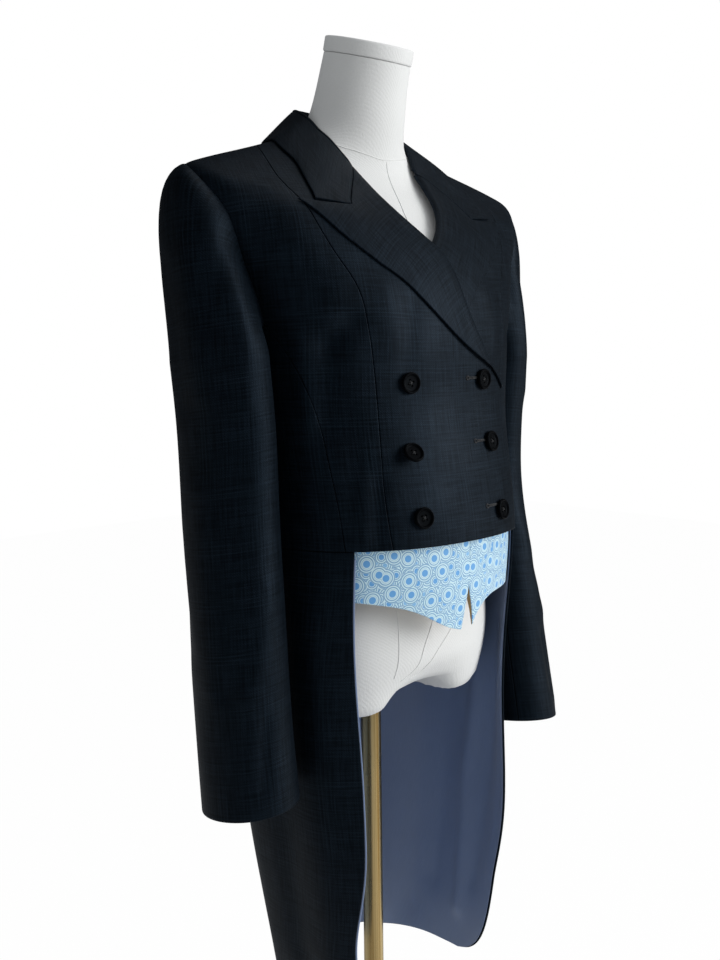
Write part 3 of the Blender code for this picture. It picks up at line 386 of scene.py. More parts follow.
def worsted_wool():
    """The yarn is twill bands times fibre noise times slubs, noise drawn out along warp and weft. It mixes
    the two colours of the ground, lifts the surface and lets each yarn's crown glint. Along a piece's
    seams and edges the colour is darkened with painted shade."""
    made, tree, shader = new_material("worsted_wool_suiting")
    place = add(tree, "ShaderNodeUVMap", uv_map="cloth")[0]
    across, up = add(tree, "ShaderNodeSeparateXYZ", (place,))[:2]
    bands = {"Vector": place, "Scale": 2 * WAVE_PERIOD / TWILL_PITCH, "Distortion": 0.6, "Detail Scale": 3.0}
    twill = add(tree, "ShaderNodeTexWave", bands, bands_direction="DIAGONAL")[1]
    fibre = add(tree, "ShaderNodeTexNoise", {"Vector": place, "Scale": FIBRES, "Detail": 3.0})[0]
    pressed = add(tree, "ShaderNodeTexNoise", {"Vector": place, "Scale": PATCHES, "Detail": 2.0})[0]
    threads = [pane_threads(tree, way) for way in (across, up)]
    either = add(tree, "ShaderNodeMath", threads, operation="MAXIMUM")[0]
    faded = add(tree, "ShaderNodeMapRange", (pressed, 0.35, 0.65, 0.5 * PANE_SHOWS, PANE_SHOWS))[0]
    window = add(tree, "ShaderNodeMath", (either, faded), operation="MULTIPLY")[0]
    drawn_out = []
    for scale in ((SLUBS_ACROSS, SLUBS_ALONG, 1.0), (SLUBS_ALONG, SLUBS_ACROSS, 1.0)):
        stretched = add(tree, "ShaderNodeMapping", {"Vector": place, "Scale": scale})[0]
        noise = add(tree, "ShaderNodeTexNoise", {"Vector": stretched, "Scale": 1.0, "Detail": 2.0})[0]
        drawn_out.append(noise)
    both = add(tree, "ShaderNodeMath", drawn_out, operation="ADD")[0]
    slub = add(tree, "ShaderNodeMapRange", (both, 0.75, 1.25, 0.1, 1.9))[0]
    soft_twill = add(tree, "ShaderNodeMath", (twill, 0.6, 0.4), operation="MULTIPLY_ADD")[0]
    hairy = add(tree, "ShaderNodeMath", (soft_twill, fibre), operation="MULTIPLY")[0]
    yarn = add(tree, "ShaderNodeMath", (hairy, slub), operation="MULTIPLY")[0]
    ground = add(tree, "ShaderNodeMix", {0: yarn, 6: linear(WOOL_DARK), 7: linear(WOOL_LIGHT)},
                 data_type="RGBA")[2]
    colour = add(tree, "ShaderNodeMix", {0: window, 6: ground, 7: linear(WOOL_PANE)}, data_type="RGBA")[2]
    # painted shade: within 0.8 mm of a seam or edge the wool is mixed towards a near black
    seam = add(tree, "ShaderNodeAttribute", attribute_name="seam")[2]
    seam_shade = add(tree, "ShaderNodeMapRange", (seam, SEAM_NEAR, SEAM_FAR, 0.3, 1.0))[0]
    shaded = add(tree, "ShaderNodeMix", {0: seam_shade, 6: linear(WOOL_SEAM_SHADE), 7: colour}, data_type="RGBA")[2]
    shine = add(tree, "ShaderNodeMapRange", (pressed, 0.3, 0.7, WOOL_ROUGH - 0.05, WOOL_ROUGH + 0.05))[0]
    weave = add(tree, "ShaderNodeBump", {"Strength": 0.35, "Distance": YARN_DEEP, "Height": yarn})[0]
    glint = add(tree, "ShaderNodeMapRange", (yarn, 0.0, 0.9, GLINT_LOW, GLINT_HIGH))[0]
    connect(tree, shader, {"Base Color": shaded, "Roughness": shine, "Normal": weave,
                           "Specular IOR Level": glint, "Specular Tint": linear(WOOL_SHINE),
                           "Sheen Weight": 0.02, "Sheen Roughness": 0.45, "Sheen Tint": linear(WOOL_SHEEN)})
    return made


wool = worsted_wool()
print(wool.name, "has", len(wool.node_tree.nodes), "nodes")

# %% [markdown]
# ## Lining, waistcoat and form cloths
# The tails are lined in a slate blue satin, whose long floats give it a stretched shine. The waistcoat
# points are a pale blue silk jacquard with rings round small dots: a plain ring repeat of its own, from the
# distance to the middle of each cell. The form is covered in off white cotton jersey.

# %% Satin
SATIN_DARK, SATIN_LIGHT = "#62759A", "#8092B2"
# grains in a metre: a float is drawn 0.8 mm wide and 17 mm long, a soft patch 110 mm
FLOATS_ACROSS, FLOATS_ALONG, SATIN_PATCHES = 1200.0, 60.0, 9.0


def lining_satin():
    """Satin: fine warp lines along the drop, a stretched highlight, and soft pressed unevenness."""
    made, tree, shader = new_material("acetate_satin_lining")
    place = add(tree, "ShaderNodeUVMap", uv_map="cloth")[0]
    floats = (FLOATS_ACROSS, FLOATS_ALONG, 1.0)
    stretched = add(tree, "ShaderNodeMapping", {"Vector": place, "Scale": floats})[0]
    warp = add(tree, "ShaderNodeTexNoise", {"Vector": stretched, "Scale": 1.0, "Detail": 2.0})[0]
    soft = add(tree, "ShaderNodeTexNoise", {"Vector": place, "Scale": SATIN_PATCHES, "Detail": 3.0})[0]
    half = add(tree, "ShaderNodeMath", (soft, 0.5), operation="MULTIPLY")[0]
    tone = add(tree, "ShaderNodeMath", (warp, 0.5, half), operation="MULTIPLY_ADD")[0]
    colour = add(tree, "ShaderNodeMix", {0: tone, 6: linear(SATIN_DARK), 7: linear(SATIN_LIGHT)},
                 data_type="RGBA")[2]
    shine = add(tree, "ShaderNodeMapRange", (soft, 0.3, 0.7, 0.34, 0.46))[0]
    ripple = add(tree, "ShaderNodeBump", {"Strength": 0.25, "Distance": YARN_DEEP, "Height": warp})[0]
    connect(tree, shader, {"Base Color": colour, "Roughness": shine, "Normal": ripple, "Anisotropic": 0.5,
                           "Sheen Weight": 0.12})
    return made


satin = lining_satin()
print(satin.name, "has", len(satin.node_tree.nodes), "nodes")

# %% Jacquard
RING_GROUND, RING_LINE, RING_DOT, RING_SMALL = "#D6F3FC", "#78A9D2", "#66AAE6", "#86C0EC"
RING_LAYERS = [
    # cell, place of the layer, randomness, reach of the outer ring, radius of the dot, in shares of the cell
    (0.0105, 0.00, 0.60, 0.72, 0.21, RING_SMALL),
    (0.0140, 0.37, 0.80, 0.42, 0.19, RING_DOT),
    (0.0200, 0.61, 0.70, 0.42, 0.17, RING_DOT),
]
RING_STEP, RING_WIDTH, DOT_SOFT, DOT_BARE, SILK_THREAD = 0.0021, 0.00068, 0.0003, 0.05, 0.0008


def ring_layer(tree, place, under, cell, moved, random, reach, dot, tint):
    """One layer of discs over the colour below: each disc is the ground within reach of a cell's middle,
    with rings one step apart and a dot. The distance comes from the nearest cell middle."""
    shifted = add(tree, "ShaderNodeMapping", {"Vector": place, "Location": (moved, moved * 0.7, 0.0)})[0]
    middle = add(tree, "ShaderNodeTexVoronoi", {"Vector": shifted, "Scale": 1 / cell, "Randomness": random},
                 voronoi_dimensions="2D")[0]
    away = add(tree, "ShaderNodeMath", (middle, cell), operation="MULTIPLY")[0]
    from_outer = add(tree, "ShaderNodeMath", (away, reach * cell), operation="SUBTRACT")[0]
    from_ring = add(tree, "ShaderNodeMath", (from_outer, RING_STEP / 2), operation="PINGPONG")[0]
    line = add(tree, "ShaderNodeMapRange", (from_ring, RING_WIDTH * 0.4, RING_WIDTH, 1.0, 0.0))[0]
    bare = add(tree, "ShaderNodeMath", (away, (dot + DOT_BARE) * cell), operation="GREATER_THAN")[0]
    ring = add(tree, "ShaderNodeMath", (line, bare), operation="MULTIPLY")[0]
    rim = dot * cell
    filled = add(tree, "ShaderNodeMapRange", (away, rim - DOT_SOFT, rim + DOT_SOFT, 1.0, 0.0))[0]
    disc = add(tree, "ShaderNodeMix", {0: ring, 6: linear(RING_GROUND), 7: linear(RING_LINE)},
               data_type="RGBA")[2]
    disc = add(tree, "ShaderNodeMix", {0: filled, 6: disc, 7: linear(tint)}, data_type="RGBA")[2]
    within = add(tree, "ShaderNodeMath", (away, reach * cell + RING_WIDTH), operation="LESS_THAN")[0]
    return add(tree, "ShaderNodeMix", {0: within, 6: under, 7: disc}, data_type="RGBA")[2], ring


def ring_jacquard():
    """Three layers of ringed dots, the largest on top, over a pale ground with a fine satin line. The rings
    of the top layer stand up a little and are smoother."""
    made, tree, shader = new_material("silk_ring_jacquard")
    place = add(tree, "ShaderNodeUVMap", uv_map="cloth")[0]
    colour = linear(RING_GROUND)
    for layer_row in RING_LAYERS:
        colour, ring = ring_layer(tree, place, colour, *layer_row)
    silk = add(tree, "ShaderNodeTexWave", {"Vector": place, "Scale": WAVE_PERIOD / SILK_THREAD})[1]
    raised = add(tree, "ShaderNodeMath", (silk, 0.3, ring), operation="MULTIPLY_ADD")[0]
    relief = add(tree, "ShaderNodeBump", {"Strength": 0.4, "Distance": 0.0003, "Height": raised})[0]
    shine = add(tree, "ShaderNodeMapRange", (ring, 0.0, 1.0, 0.52, 0.34))[0]
    connect(tree, shader, {"Base Color": colour, "Roughness": shine, "Normal": relief, "Sheen Weight": 0.15})
    return made


jacquard = ring_jacquard()
print(jacquard.name, "has", len(jacquard.node_tree.nodes), "nodes")

# %% Cotton of the form and tan backing
JERSEY_LIGHT, JERSEY_DARK, JERSEY_RIB = "#ECEDEC", "#DDDEDC", 0.0016
TWILL_LIGHT, TWILL_DARK, TWILL_RIB = "#C2A36F", "#A6875A", 0.0011
# grains in a metre: a loop of the knit is 2 mm, a soiled patch 140 mm
LOOPS, SOILED, KNIT_DEEP = 520.0, 7.0, 0.0005


def cotton(name, light, dark, rib_wide):
    """Cotton jersey or twill: fine ribs and knit noise on Object coordinates, and faint soiling. The tone
    is 0.7 of the soiling and 0.3 of the knit, the height a quarter of the ribs and the rest of the knit."""
    made, tree, shader = new_material(name)
    place = add(tree, "ShaderNodeTexCoord")["Object"]
    rib = add(tree, "ShaderNodeTexWave", {"Vector": place, "Scale": WAVE_PERIOD / rib_wide, "Distortion": 3.0,
                                          "Detail": 2.0, "Detail Scale": 4.0}, bands_direction="DIAGONAL")[1]
    knit = add(tree, "ShaderNodeTexNoise", {"Vector": place, "Scale": LOOPS, "Detail": 2.0})[0]
    wear = add(tree, "ShaderNodeTexNoise", {"Vector": place, "Scale": SOILED, "Detail": 4.0})[0]
    knit_tone = add(tree, "ShaderNodeMath", (knit, 0.3), operation="MULTIPLY")[0]
    tone = add(tree, "ShaderNodeMath", (wear, 0.7, knit_tone), operation="MULTIPLY_ADD")[0]
    colour = add(tree, "ShaderNodeMix", {0: tone, 6: linear(dark), 7: linear(light)}, data_type="RGBA")[2]
    knit_height = add(tree, "ShaderNodeMath", (knit, 0.75), operation="MULTIPLY")[0]
    height = add(tree, "ShaderNodeMath", (rib, 0.25, knit_height), operation="MULTIPLY_ADD")[0]
    relief = add(tree, "ShaderNodeBump", {"Strength": 0.5, "Distance": KNIT_DEEP, "Height": height})[0]
    rough = add(tree, "ShaderNodeMapRange", (wear, 0.0, 1.0, 0.80, 0.92))[0]
    connect(tree, shader, {"Base Color": colour, "Roughness": rough, "Normal": relief, "Sheen Weight": 0.2})
    return made


jersey = cotton("cotton_jersey_cover", JERSEY_LIGHT, JERSEY_DARK, JERSEY_RIB)
backing = cotton("tan_cotton_backing", TWILL_LIGHT, TWILL_DARK, TWILL_RIB)
print(jersey.name, "and", backing.name)

# %% Horn, thread and brass
HORN_DARK, HORN_LIGHT, HORN_SHINE = "#030304", "#090A0C", "#9DB4C8"
THREAD_DARK, THREAD_LIGHT, PLY = "#0A0B0D", "#24272C", 0.0007
BRASS_DARK, BRASS_LIGHT = "#8E7240", "#CDB684"
# grains in a metre: a layer of horn and a streak of the brass are 4 mm, a dull patch of the brass 45 mm
LAYERS, STREAKS, STREAKS_ALONG, DULL_PATCHES = 260.0, 260.0, 1.5, 22.0


def polished_horn():
    """Black horn, sawn and polished: faint layers, and small scratches that only the roughness shows."""
    made, tree, shader = new_material("polished_black_horn")
    place = add(tree, "ShaderNodeTexCoord")["Object"]
    grain = add(tree, "ShaderNodeTexNoise", {"Vector": place, "Scale": LAYERS, "Detail": 4.0})[0]
    colour = add(tree, "ShaderNodeMix", {0: grain, 6: linear(HORN_DARK), 7: linear(HORN_LIGHT)},
                 data_type="RGBA")[2]
    scratched = add(tree, "ShaderNodeMapRange", (grain, 0.35, 0.65, 0.34, 0.50))[0]
    connect(tree, shader, {"Base Color": colour, "Roughness": scratched, "Specular IOR Level": 0.05,
                           "Specular Tint": linear(HORN_SHINE)})
    return made


def polyester_thread():
    """Black sewing thread: two plies twisted, drawn as fine bands."""
    made, tree, shader = new_material("black_sewing_thread")
    place = add(tree, "ShaderNodeTexCoord")["Object"]
    ply = add(tree, "ShaderNodeTexWave", {"Vector": place, "Scale": WAVE_PERIOD / PLY},
              bands_direction="DIAGONAL")[1]
    colour = add(tree, "ShaderNodeMix", {0: ply, 6: linear(THREAD_DARK), 7: linear(THREAD_LIGHT)},
                 data_type="RGBA")[2]
    connect(tree, shader, {"Base Color": colour, "Roughness": 0.6})
    return made


def lacquered_brass():
    """Brass tube, drawn and lacquered: a soft shine, fine streaks along the tube and a few dull patches."""
    made, tree, shader = new_material("polished_brass")
    place = add(tree, "ShaderNodeTexCoord")["Object"]
    drawn_along = (STREAKS, STREAKS, STREAKS_ALONG)
    squeezed = add(tree, "ShaderNodeMapping", {"Vector": place, "Scale": drawn_along})[0]
    streaks = add(tree, "ShaderNodeTexNoise", {"Vector": squeezed, "Scale": 1.0, "Detail": 3.0})[0]
    patch = add(tree, "ShaderNodeTexNoise", {"Vector": place, "Scale": DULL_PATCHES, "Detail": 4.0})[0]
    drawn = add(tree, "ShaderNodeMapRange", (streaks, 0.38, 0.62))[0]
    colour = add(tree, "ShaderNodeMix", {0: drawn, 6: linear(BRASS_DARK), 7: linear(BRASS_LIGHT)},
                 data_type="RGBA")[2]
    half = add(tree, "ShaderNodeMath", (patch, 0.5), operation="MULTIPLY")[0]
    uneven = add(tree, "ShaderNodeMath", (streaks, 0.5, half), operation="MULTIPLY_ADD")[0]
    shine = add(tree, "ShaderNodeMapRange", (uneven, 0.3, 0.7, 0.22, 0.34))[0]
    connect(tree, shader, {"Base Color": colour, "Roughness": shine, "Metallic": 1.0})
    return made


horn, thread, brass = polished_horn(), polyester_thread(), lacquered_brass()
print(horn.name, thread.name, brass.name)

# %% [markdown]
# ## From a grid to a shell of cloth
# Cloth has two faces and a turned edge. A shell is two grids of the same shape: the inner one and the outer
# one, a wall apart, whose edge turns in over a millimetre. All faces come from one array of numbers, and
# the rim is found as the sides of cells that no other cell shares.

# %% Meshes from arrays
made_pieces = {}


def new_piece(name, points, quads, materials, face_material=None, uv=None, smooth=40.0, **numbers):
    """A mesh from arrays of points and four cornered faces, with a UV map in metres and numbers at points."""
    used, index = np.unique(quads, return_inverse=True)
    quads = index.reshape(quads.shape)
    mesh = bpy.data.meshes.new(name)
    mesh.vertices.add(len(used))
    mesh.vertices.foreach_set("co", points[used].ravel())
    mesh.loops.add(quads.size)
    mesh.loops.foreach_set("vertex_index", quads.ravel())
    mesh.polygons.add(len(quads))
    mesh.polygons.foreach_set("loop_start", np.arange(0, quads.size, 4))
    for material in materials:
        mesh.materials.append(material)
    if face_material is not None:
        mesh.polygons.foreach_set("material_index", face_material)
    mesh.update(calc_edges=True)
    if uv is not None:
        mesh.uv_layers.new(name="cloth").uv.foreach_set("vector", uv[used][quads].ravel())
    for key, values in numbers.items():
        mesh.attributes.new(key, "FLOAT", "POINT").data.foreach_set("value", values[used].astype(np.float32))
    mesh.shade_smooth()
    mesh.set_sharp_from_angle(angle=math.radians(smooth))
    made = bpy.data.objects.new(name, mesh)
    bpy.context.scene.collection.objects.link(made)
    made_pieces[name] = made
    return made


def grid_quads(rows, across, keep=None, wrap=False, around=False):
    """The cells of a grid as four corner numbers each. With wrap the last row joins the first, and with
    around the last point of each row joins its first."""
    number = np.arange(rows * across).reshape(rows, across)
    number = np.concatenate([number, number[:1]]) if wrap else number
    number = np.concatenate([number, number[:, :1]], axis=1) if around else number
    quads = np.stack([number[:-1, :-1], number[1:, :-1], number[1:, 1:], number[:-1, 1:]], -1)
    return quads[keep] if keep is not None else quads.reshape(-1, 4)


print("a grid of 3 by 4 points has", len(grid_quads(3, 4)), "cells")


# %% Shells of cloth
def shell(name, inner, outer, materials, uv, seam=None, keep=None):
    """Cloth between two grids: outer faces, inner faces turned round, and a rim where no cell follows."""
    rows, across = inner.shape[:2]
    turn = np.cross(outer[1:, :-1] - outer[:-1, :-1], outer[:-1, 1:] - outer[:-1, :-1])
    quads = grid_quads(rows, across, keep)
    if (turn * (outer - inner)[:-1, :-1]).sum() < 0:
        quads = quads[:, ::-1]
    count = rows * across
    sides = np.concatenate([quads[:, [k, (k + 1) % 4]] for k in range(4)])
    border = sides[~np.isin(sides[:, 0] * count + sides[:, 1], sides[:, 1] * count + sides[:, 0])]
    rim = np.stack([border[:, 1] + count, border[:, 0] + count, border[:, 0], border[:, 1]], 1)
    faces = np.concatenate([quads + count, quads[:, ::-1], rim])
    out_then_in = [np.zeros(len(quads), int), np.ones(len(quads) + len(rim), int)]
    inside = np.concatenate(out_then_in) if len(materials) > 1 else None
    points = np.concatenate([inner.reshape(-1, 3), outer.reshape(-1, 3)])
    doubled = np.concatenate([uv.reshape(-1, 2)] * 2)
    seam = np.ones(count) if seam is None else seam.ravel()
    return new_piece(name, points, faces, materials, inside, doubled, seam=np.concatenate([seam] * 2))


def lengths(points, axis):
    """Distance run along each line of the grid, from its first point."""
    step = np.linalg.norm(np.diff(points, axis=axis), axis=-1)
    start = np.zeros_like(np.take(step, [0], axis=axis))
    return np.concatenate([start, np.cumsum(step, axis=axis)], axis=axis)


def edge_distance(points, left=True, right=True, bottom=True, top=True):
    """Distance of each point from the nearest of the chosen edges, along the grid's own lines."""
    across, up = lengths(points, 0), lengths(points, 1)
    nearest = np.full(points.shape[:2], 1.0)
    edges = ((left, across), (right, across[-1:] - across), (bottom, up), (top, up[:, -1:] - up))
    for wanted, distance in edges:
        nearest = np.minimum(nearest, distance) if wanted else nearest
    return nearest


# %% Turned edges
EDGE_WALL, EDGE_TURN = 0.3, 0.0010


def turned_in(distance, thick, radius=EDGE_TURN):
    """The wall's thickness near an edge: a quarter of an ellipse, from a share of it to all of it."""
    share = np.clip(distance / radius, 0, 1)
    return thick * (EDGE_WALL + (1 - EDGE_WALL) * np.sqrt(1 - (1 - share) ** 2))


print("half a millimetre in, the wall is", round(float(turned_in(0.0005, CLOTH)) * 1000, 2), "mm")


# %% Pieces in place of their solids
def declare(piece, nodes):
    """Hides the solids that the piece stands in for and hangs the piece under the root."""
    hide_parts(*nodes)
    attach(piece, "root")


# %% The cloth's own measure
MAP_ANGLES, MAP_LEVELS = np.arange(-200.0, 201.0, 4.0), np.linspace(0.54, 1.52, 99)
measured = body(MAP_ANGLES[:, None], MAP_LEVELS[None])
map_across = lengths(measured, 0) - lengths(measured, 0)[len(MAP_ANGLES) // 2]
map_up = lengths(measured, 1)
BACK_FROM = 140


def cloth_map(side, angle, level):
    """UV in metres, read from a table by bilinear blend: the length up the body, and the arc from the
    centre front, or on a back from the centre back, so that the windowpane hangs straight there."""
    x = (side * angle - MAP_ANGLES[0]) / (MAP_ANGLES[1] - MAP_ANGLES[0])
    y = (level - MAP_LEVELS[0]) / (MAP_LEVELS[1] - MAP_LEVELS[0])
    i = np.clip(x.astype(int), 0, len(MAP_ANGLES) - 2)
    j = np.clip(y.astype(int), 0, len(MAP_LEVELS) - 2)
    x, y = x - i, y - j
    centre_back = np.abs(MAP_ANGLES - side * 180).argmin()
    from_middle = map_across - map_across[centre_back] if angle.mean() > BACK_FROM else map_across
    read = [(1 - x) * ((1 - y) * t[i, j] + y * t[i, j + 1])
            + x * ((1 - y) * t[i + 1, j] + y * t[i + 1, j + 1]) for t in (from_middle, map_up)]
    return np.stack(read, -1)


def panel(name, side, places, materials, slot, thick=CLOTH, out=0.0, keep=None, held="stretched", **free):
    """A panel on the body surface, from the grid of its places. An edge without a seam is given as False."""
    angle, level = places[..., 0], places[..., 1]
    inner = on_side(side, angle, level, out)
    outer = on_side(side, angle, level, out + turned_in(edge_distance(inner), thick))
    # the distance from the seams, along which the wool is darkened with painted shade
    seam = edge_distance(inner, **free)
    piece = shell(name, inner, outer, materials, cloth_map(side, angle, level), seam, keep)
    declare(piece, [name])


at_waist = np.abs(MAP_LEVELS - WAIST).argmin()
covered = map_across[-1, at_waist] - map_across[0, at_waist]
print("the map covers", round(float(covered), 3), "m round the waist")

# %% [markdown]
# ## Fronts, sides and back
# The body of the coat is ten panels. They meet at the princess seams over the bust, at the side seams and
# at the curved back seams, and each edge turns in there, so the seams show as fine dark lines. The wool
# along them also carries painted shade.

# %% Front panels
for word, side in SIDES.items():
    panel(f"front_centre_{word}", side, front_rows, [wool], "suiting", left=False, bottom=False)
    places = filled_in(straight((35, HEM), (51, HEM)), straight((90, SHOULDER_SEAM), (90, SHOULDER_TIP)),
                       follow((PRINCESS, 1)), follow((SIDE_SEAM, 6), (ARMHOLE_FRONT, 8)),
                       close_rows(0.075), close_rows(0.40))
    panel(f"front_side_{word}", side, places, [wool], "suiting", bottom=False)

# %% Side bodies
for word, side in SIDES.items():
    places = filled_in(straight((51, HEM), (152, HEM)), follow((ARMHOLE_UNDER, 1)), follow((SIDE_SEAM, 1)),
                       follow((BACK_SEAM, 1)), close_rows(0.22), close_rows(0.21))
    panel(f"side_body_{word}", side, places, [wool], "suiting")


# %% Backs, each cut in one with the middle of its tail
def in_steps(rows):
    """A tail's edge as a function of t, in the uneven steps that its solid has."""
    even = np.linspace(0, 1, len(TAIL_STEPS))
    return lambda t: along(rows, np.interp(t, even, TAIL_STEPS))


back_across, tail_up = close_rows(0.10), close_rows(0.48)
back_tail = (straight((146, TAIL_HEM), (180, TAIL_HEM)), straight((152, HEM), (180, HEM)),
             in_steps(TAIL_BACK_SEAM), in_steps([(180, TAIL_HEM), (180, HEM)]))
back_lower = filled_in(*back_tail, back_across, tail_up)
back_upper = filled_in(straight((152, HEM), (180, HEM)), straight((90, NECKLINE), (180, NECKLINE)),
                       follow((BACK_SEAM, 6), (ARMHOLE_BACK, 8), ([(90, SHOULDER_TIP), (90, NECKLINE)], 4)),
                       straight((180, HEM), (180, NECKLINE)), back_across, close_rows(0.50))
back_places = np.concatenate([back_lower, back_upper[:, 1:]], axis=1)
panel("back_right", RIGHT, back_places, [wool], "suiting", held="hung", bottom=False)

# %% The vent's underlap
BACK_RADIUS = 0.1
vent_angle = np.degrees(VENT_LAP / BACK_RADIUS)
beyond = back_places[-1] + np.array([vent_angle, 0.0]) * close_rows(VENT_LAP)[1:, None, None]
lapping = np.concatenate([back_places, beyond])
vent_rows = int(len(tail_up) * 6 / 7)  # the underlap ends at the vent's top, six sevenths up the tail's rows
keep = np.ones((len(lapping) - 1, lapping.shape[1] - 1), bool)
keep[len(back_places) - 1 :, vent_rows:] = False
panel("back_left", LEFT, lapping, [wool], "suiting", keep=keep, held="hung", bottom=False, right=False)

# %% [markdown]
# ## Tails and their lining
# Each tail's skirt hangs from the waist seam. Its satin is a second shell from the same places, moved in by
# the thickness of the gap. It runs to the edge, and peeps out a little past the right tail's front edge.

# %% Tails
skirt = (follow((TAIL_FOOT, 1)), straight((48, HEM), (152, HEM)),
         in_steps(TAIL_EDGE), in_steps(TAIL_BACK_SEAM))
tail_places = filled_in(*skirt, close_rows(0.22), tail_up)


def inset(places, left, right, bottom, top):
    """The grid read again between new limits, given as shares of its rows and lines from each edge."""
    s = left + (1 - left - right) * close_rows(1.0, 0.018)
    t = bottom + (1 - bottom - top) * close_rows(1.0, 0.012)
    rows = curve_through(np.linspace(0, 1, places.shape[0]), places, s)
    return curve_through(np.linspace(0, 1, places.shape[1]), rows.transpose(1, 0, 2), t).transpose(1, 0, 2)


even_up = np.linspace(0, 1, 90)
lined_even = np.concatenate([filled_in(*skirt, np.linspace(0, 1, 60), even_up),
                             filled_in(*back_tail, np.linspace(0, 1, 24), even_up)[1:]])
LINING_FRONT, LINING_BACK, LINING_LOW, LINING_HIGH = {"right": -0.004, "left": 0.004}, 0.016, 0.010, 0.008
for word, side in SIDES.items():
    lined = inset(lined_even, LINING_FRONT[word], LINING_BACK, LINING_LOW, LINING_HIGH)
    panel(f"tail_{word}", side, tail_places, [wool], "suiting", held="hung", left=False, bottom=False)
    panel(f"lining_{word}", side, lined, [satin], "lining", thick=SATIN, out=-LINING_GAP - SATIN, held="hung",
          left=False, right=False, bottom=False, top=False)

# %% [markdown]
# ## Lapels and collar
# A peaked lapel is the front turned back at the roll line, so it starts there as a soft roll and lies on
# the front. The collar is a stand round the neck and a fall that turns over it. Both are a profile carried
# along a line: the lapel's a quarter ellipse, the collar's a straight, a half circle and a swelling fall.

# %% Lapels
LAPEL_EDGE = [(-34.6, 1.1885), (-28, 1.203), (-20, 1.213), (-5, 1.232), (7, 1.253), (18, 1.278), (28, 1.302),
              (37, 1.319), (45, 1.336), (52, 1.352), (58, 1.369), (65, 1.386)]
LAPEL_ROLL = [(-36.6, 1.1845), (-28, 1.207), (-20, 1.232), (-14, 1.256), (-10, 1.290), (-8, 1.318),
              (-4, 1.342), (7, 1.371), (18, 1.402), (24, 1.425)]
COLLAR_SEAM = [(48, 1.411), (41.8, 1.500)]
SEAM_ROLL = [(24, 1.425), (29, 1.448), (41, 1.500)]
ROLL_WIDTH, ROLL_SOFT, ROLL_SWELL, NOTCH = 0.005, 0.011, 0.0018, 0.415


def roll_height(distance):
    """How high the lapel stands: a quarter ellipse up from the fold, and a soft swell that dies away."""
    share = np.clip(distance / ROLL_WIDTH, 0, 1)
    swell = ROLL_SWELL * (distance / ROLL_SOFT) * np.exp(1 - distance / ROLL_SOFT)
    return (CLOTH + LAID) * np.sqrt(1 - (1 - share) ** 2) + swell


print("past its roll the lapel stands", round(float(roll_height(ROLL_SOFT)) * 1000, 1), "mm off the front")

# %% The lapel's places, with the notch where its gorge turns up to the collar
edge_rows, notch_rows = close_rows(0.085), close_rows(0.05)
share = np.concatenate([edge_rows[edge_rows < NOTCH], NOTCH + (1 - NOTCH) * notch_rows])
notch_row = int(np.argmin(np.abs(share - NOTCH)))
low_t, high_t = close_rows(0.32), close_rows(0.085)[1:]
low_edge, low_roll = along(LAPEL_EDGE, low_t), along(LAPEL_ROLL, low_t)
low = low_edge[None] + (low_roll - low_edge)[None] * share[:, None, None]
seam, upper = along(COLLAR_SEAM, high_t), along(SEAM_ROLL, high_t)
part = np.clip((share - NOTCH) / (1 - NOTCH), 0, 1)
high = seam[None] + (upper - seam)[None] * part[:, None, None]
lapel_places = np.concatenate([low, high], axis=1)
lapel_keep = np.ones((len(share) - 1, lapel_places.shape[1] - 1), bool)
lapel_keep[:notch_row, len(low_t) - 1 :] = False
print("a lapel has", lapel_keep.sum(), "cells")

# %% Both lapels
collar_joint = {}
for word, side in SIDES.items():
    angle, level = lapel_places[..., 0], lapel_places[..., 1]
    flat = on_side(side, angle, level)
    from_fold = lengths(flat[::-1], 0)[::-1]
    inner = on_side(side, angle, level, roll_height(from_fold))
    collar_joint[word] = inner[notch_row, len(low_t) - 1 :][::-1]
    edge = edge_distance(inner, right=False, bottom=False)
    gorge = lengths(inner, 1)
    gorge = np.abs(gorge - gorge[:, len(low_t) - 1 : len(low_t)])
    edge[: notch_row + 1, : len(low_t)] = np.minimum(edge, gorge)[: notch_row + 1, : len(low_t)]
    from_seam = lengths(inner[notch_row:], 0)[:, len(low_t) :]
    edge[notch_row:, len(low_t) :] = np.minimum(edge[notch_row:, len(low_t) :], from_seam)
    normal = unit(on_side(side, angle, level, 0.01) - flat)
    slope = unit(np.cross(np.gradient(inner, axis=0), np.gradient(inner, axis=1)))
    slope *= np.sign((slope * normal).sum(-1, keepdims=True))
    outer = inner + slope * turned_in(edge, CLOTH)[..., None]
    grain = np.stack([from_fold, lengths(flat, 1)], -1)
    piece = shell(f"lapel_{word}", inner, outer, [wool], grain, None, lapel_keep)
    declare(piece, [f"lapel_{word}"])

# %% Collar
COLLAR_COLUMNS = "foot_angle fold_x fold_y fold_z edge_angle edge_level bulge"
COLLAR_ROWS = [
    (44, 0.0455, -0.0240, 1.4020, 60.7, 1.3955, 0.0022),
    (48, 0.0480, -0.0195, 1.4080, 61.9, 1.4075, 0.0030),
    (52, 0.0505, -0.0150, 1.4140, 64.1, 1.4235, 0.0030),
    (56, 0.0530, -0.0100, 1.4203, 67.8, 1.4460, 0.0030),
    (67, 0.0553, 0.0030, 1.4310, 76.0, 1.4735, 0.0022),
    (82, 0.0555, 0.0164, 1.4425, 87.0, 1.4930, 0.0012),
    (104, 0.0505, 0.0400, 1.4550, 105.0, 1.4980, 0.0008),
    (128, 0.0400, 0.0580, 1.4600, 128.0, 1.4960, 0.0022),
    (154, 0.0230, 0.0710, 1.4635, 154.0, 1.4880, 0.0045),
    (180, 0.0000, 0.0755, 1.4640, 180.0, 1.4820, 0.0052),
]
COLLAR_END = (41, 0.0430, -0.0282, 1.3998, 48.1, 1.4114, 0.0010)
STAND_FROM, FOLD_RADIUS, NECK_SEAM = 52, 0.0014, 0.0004
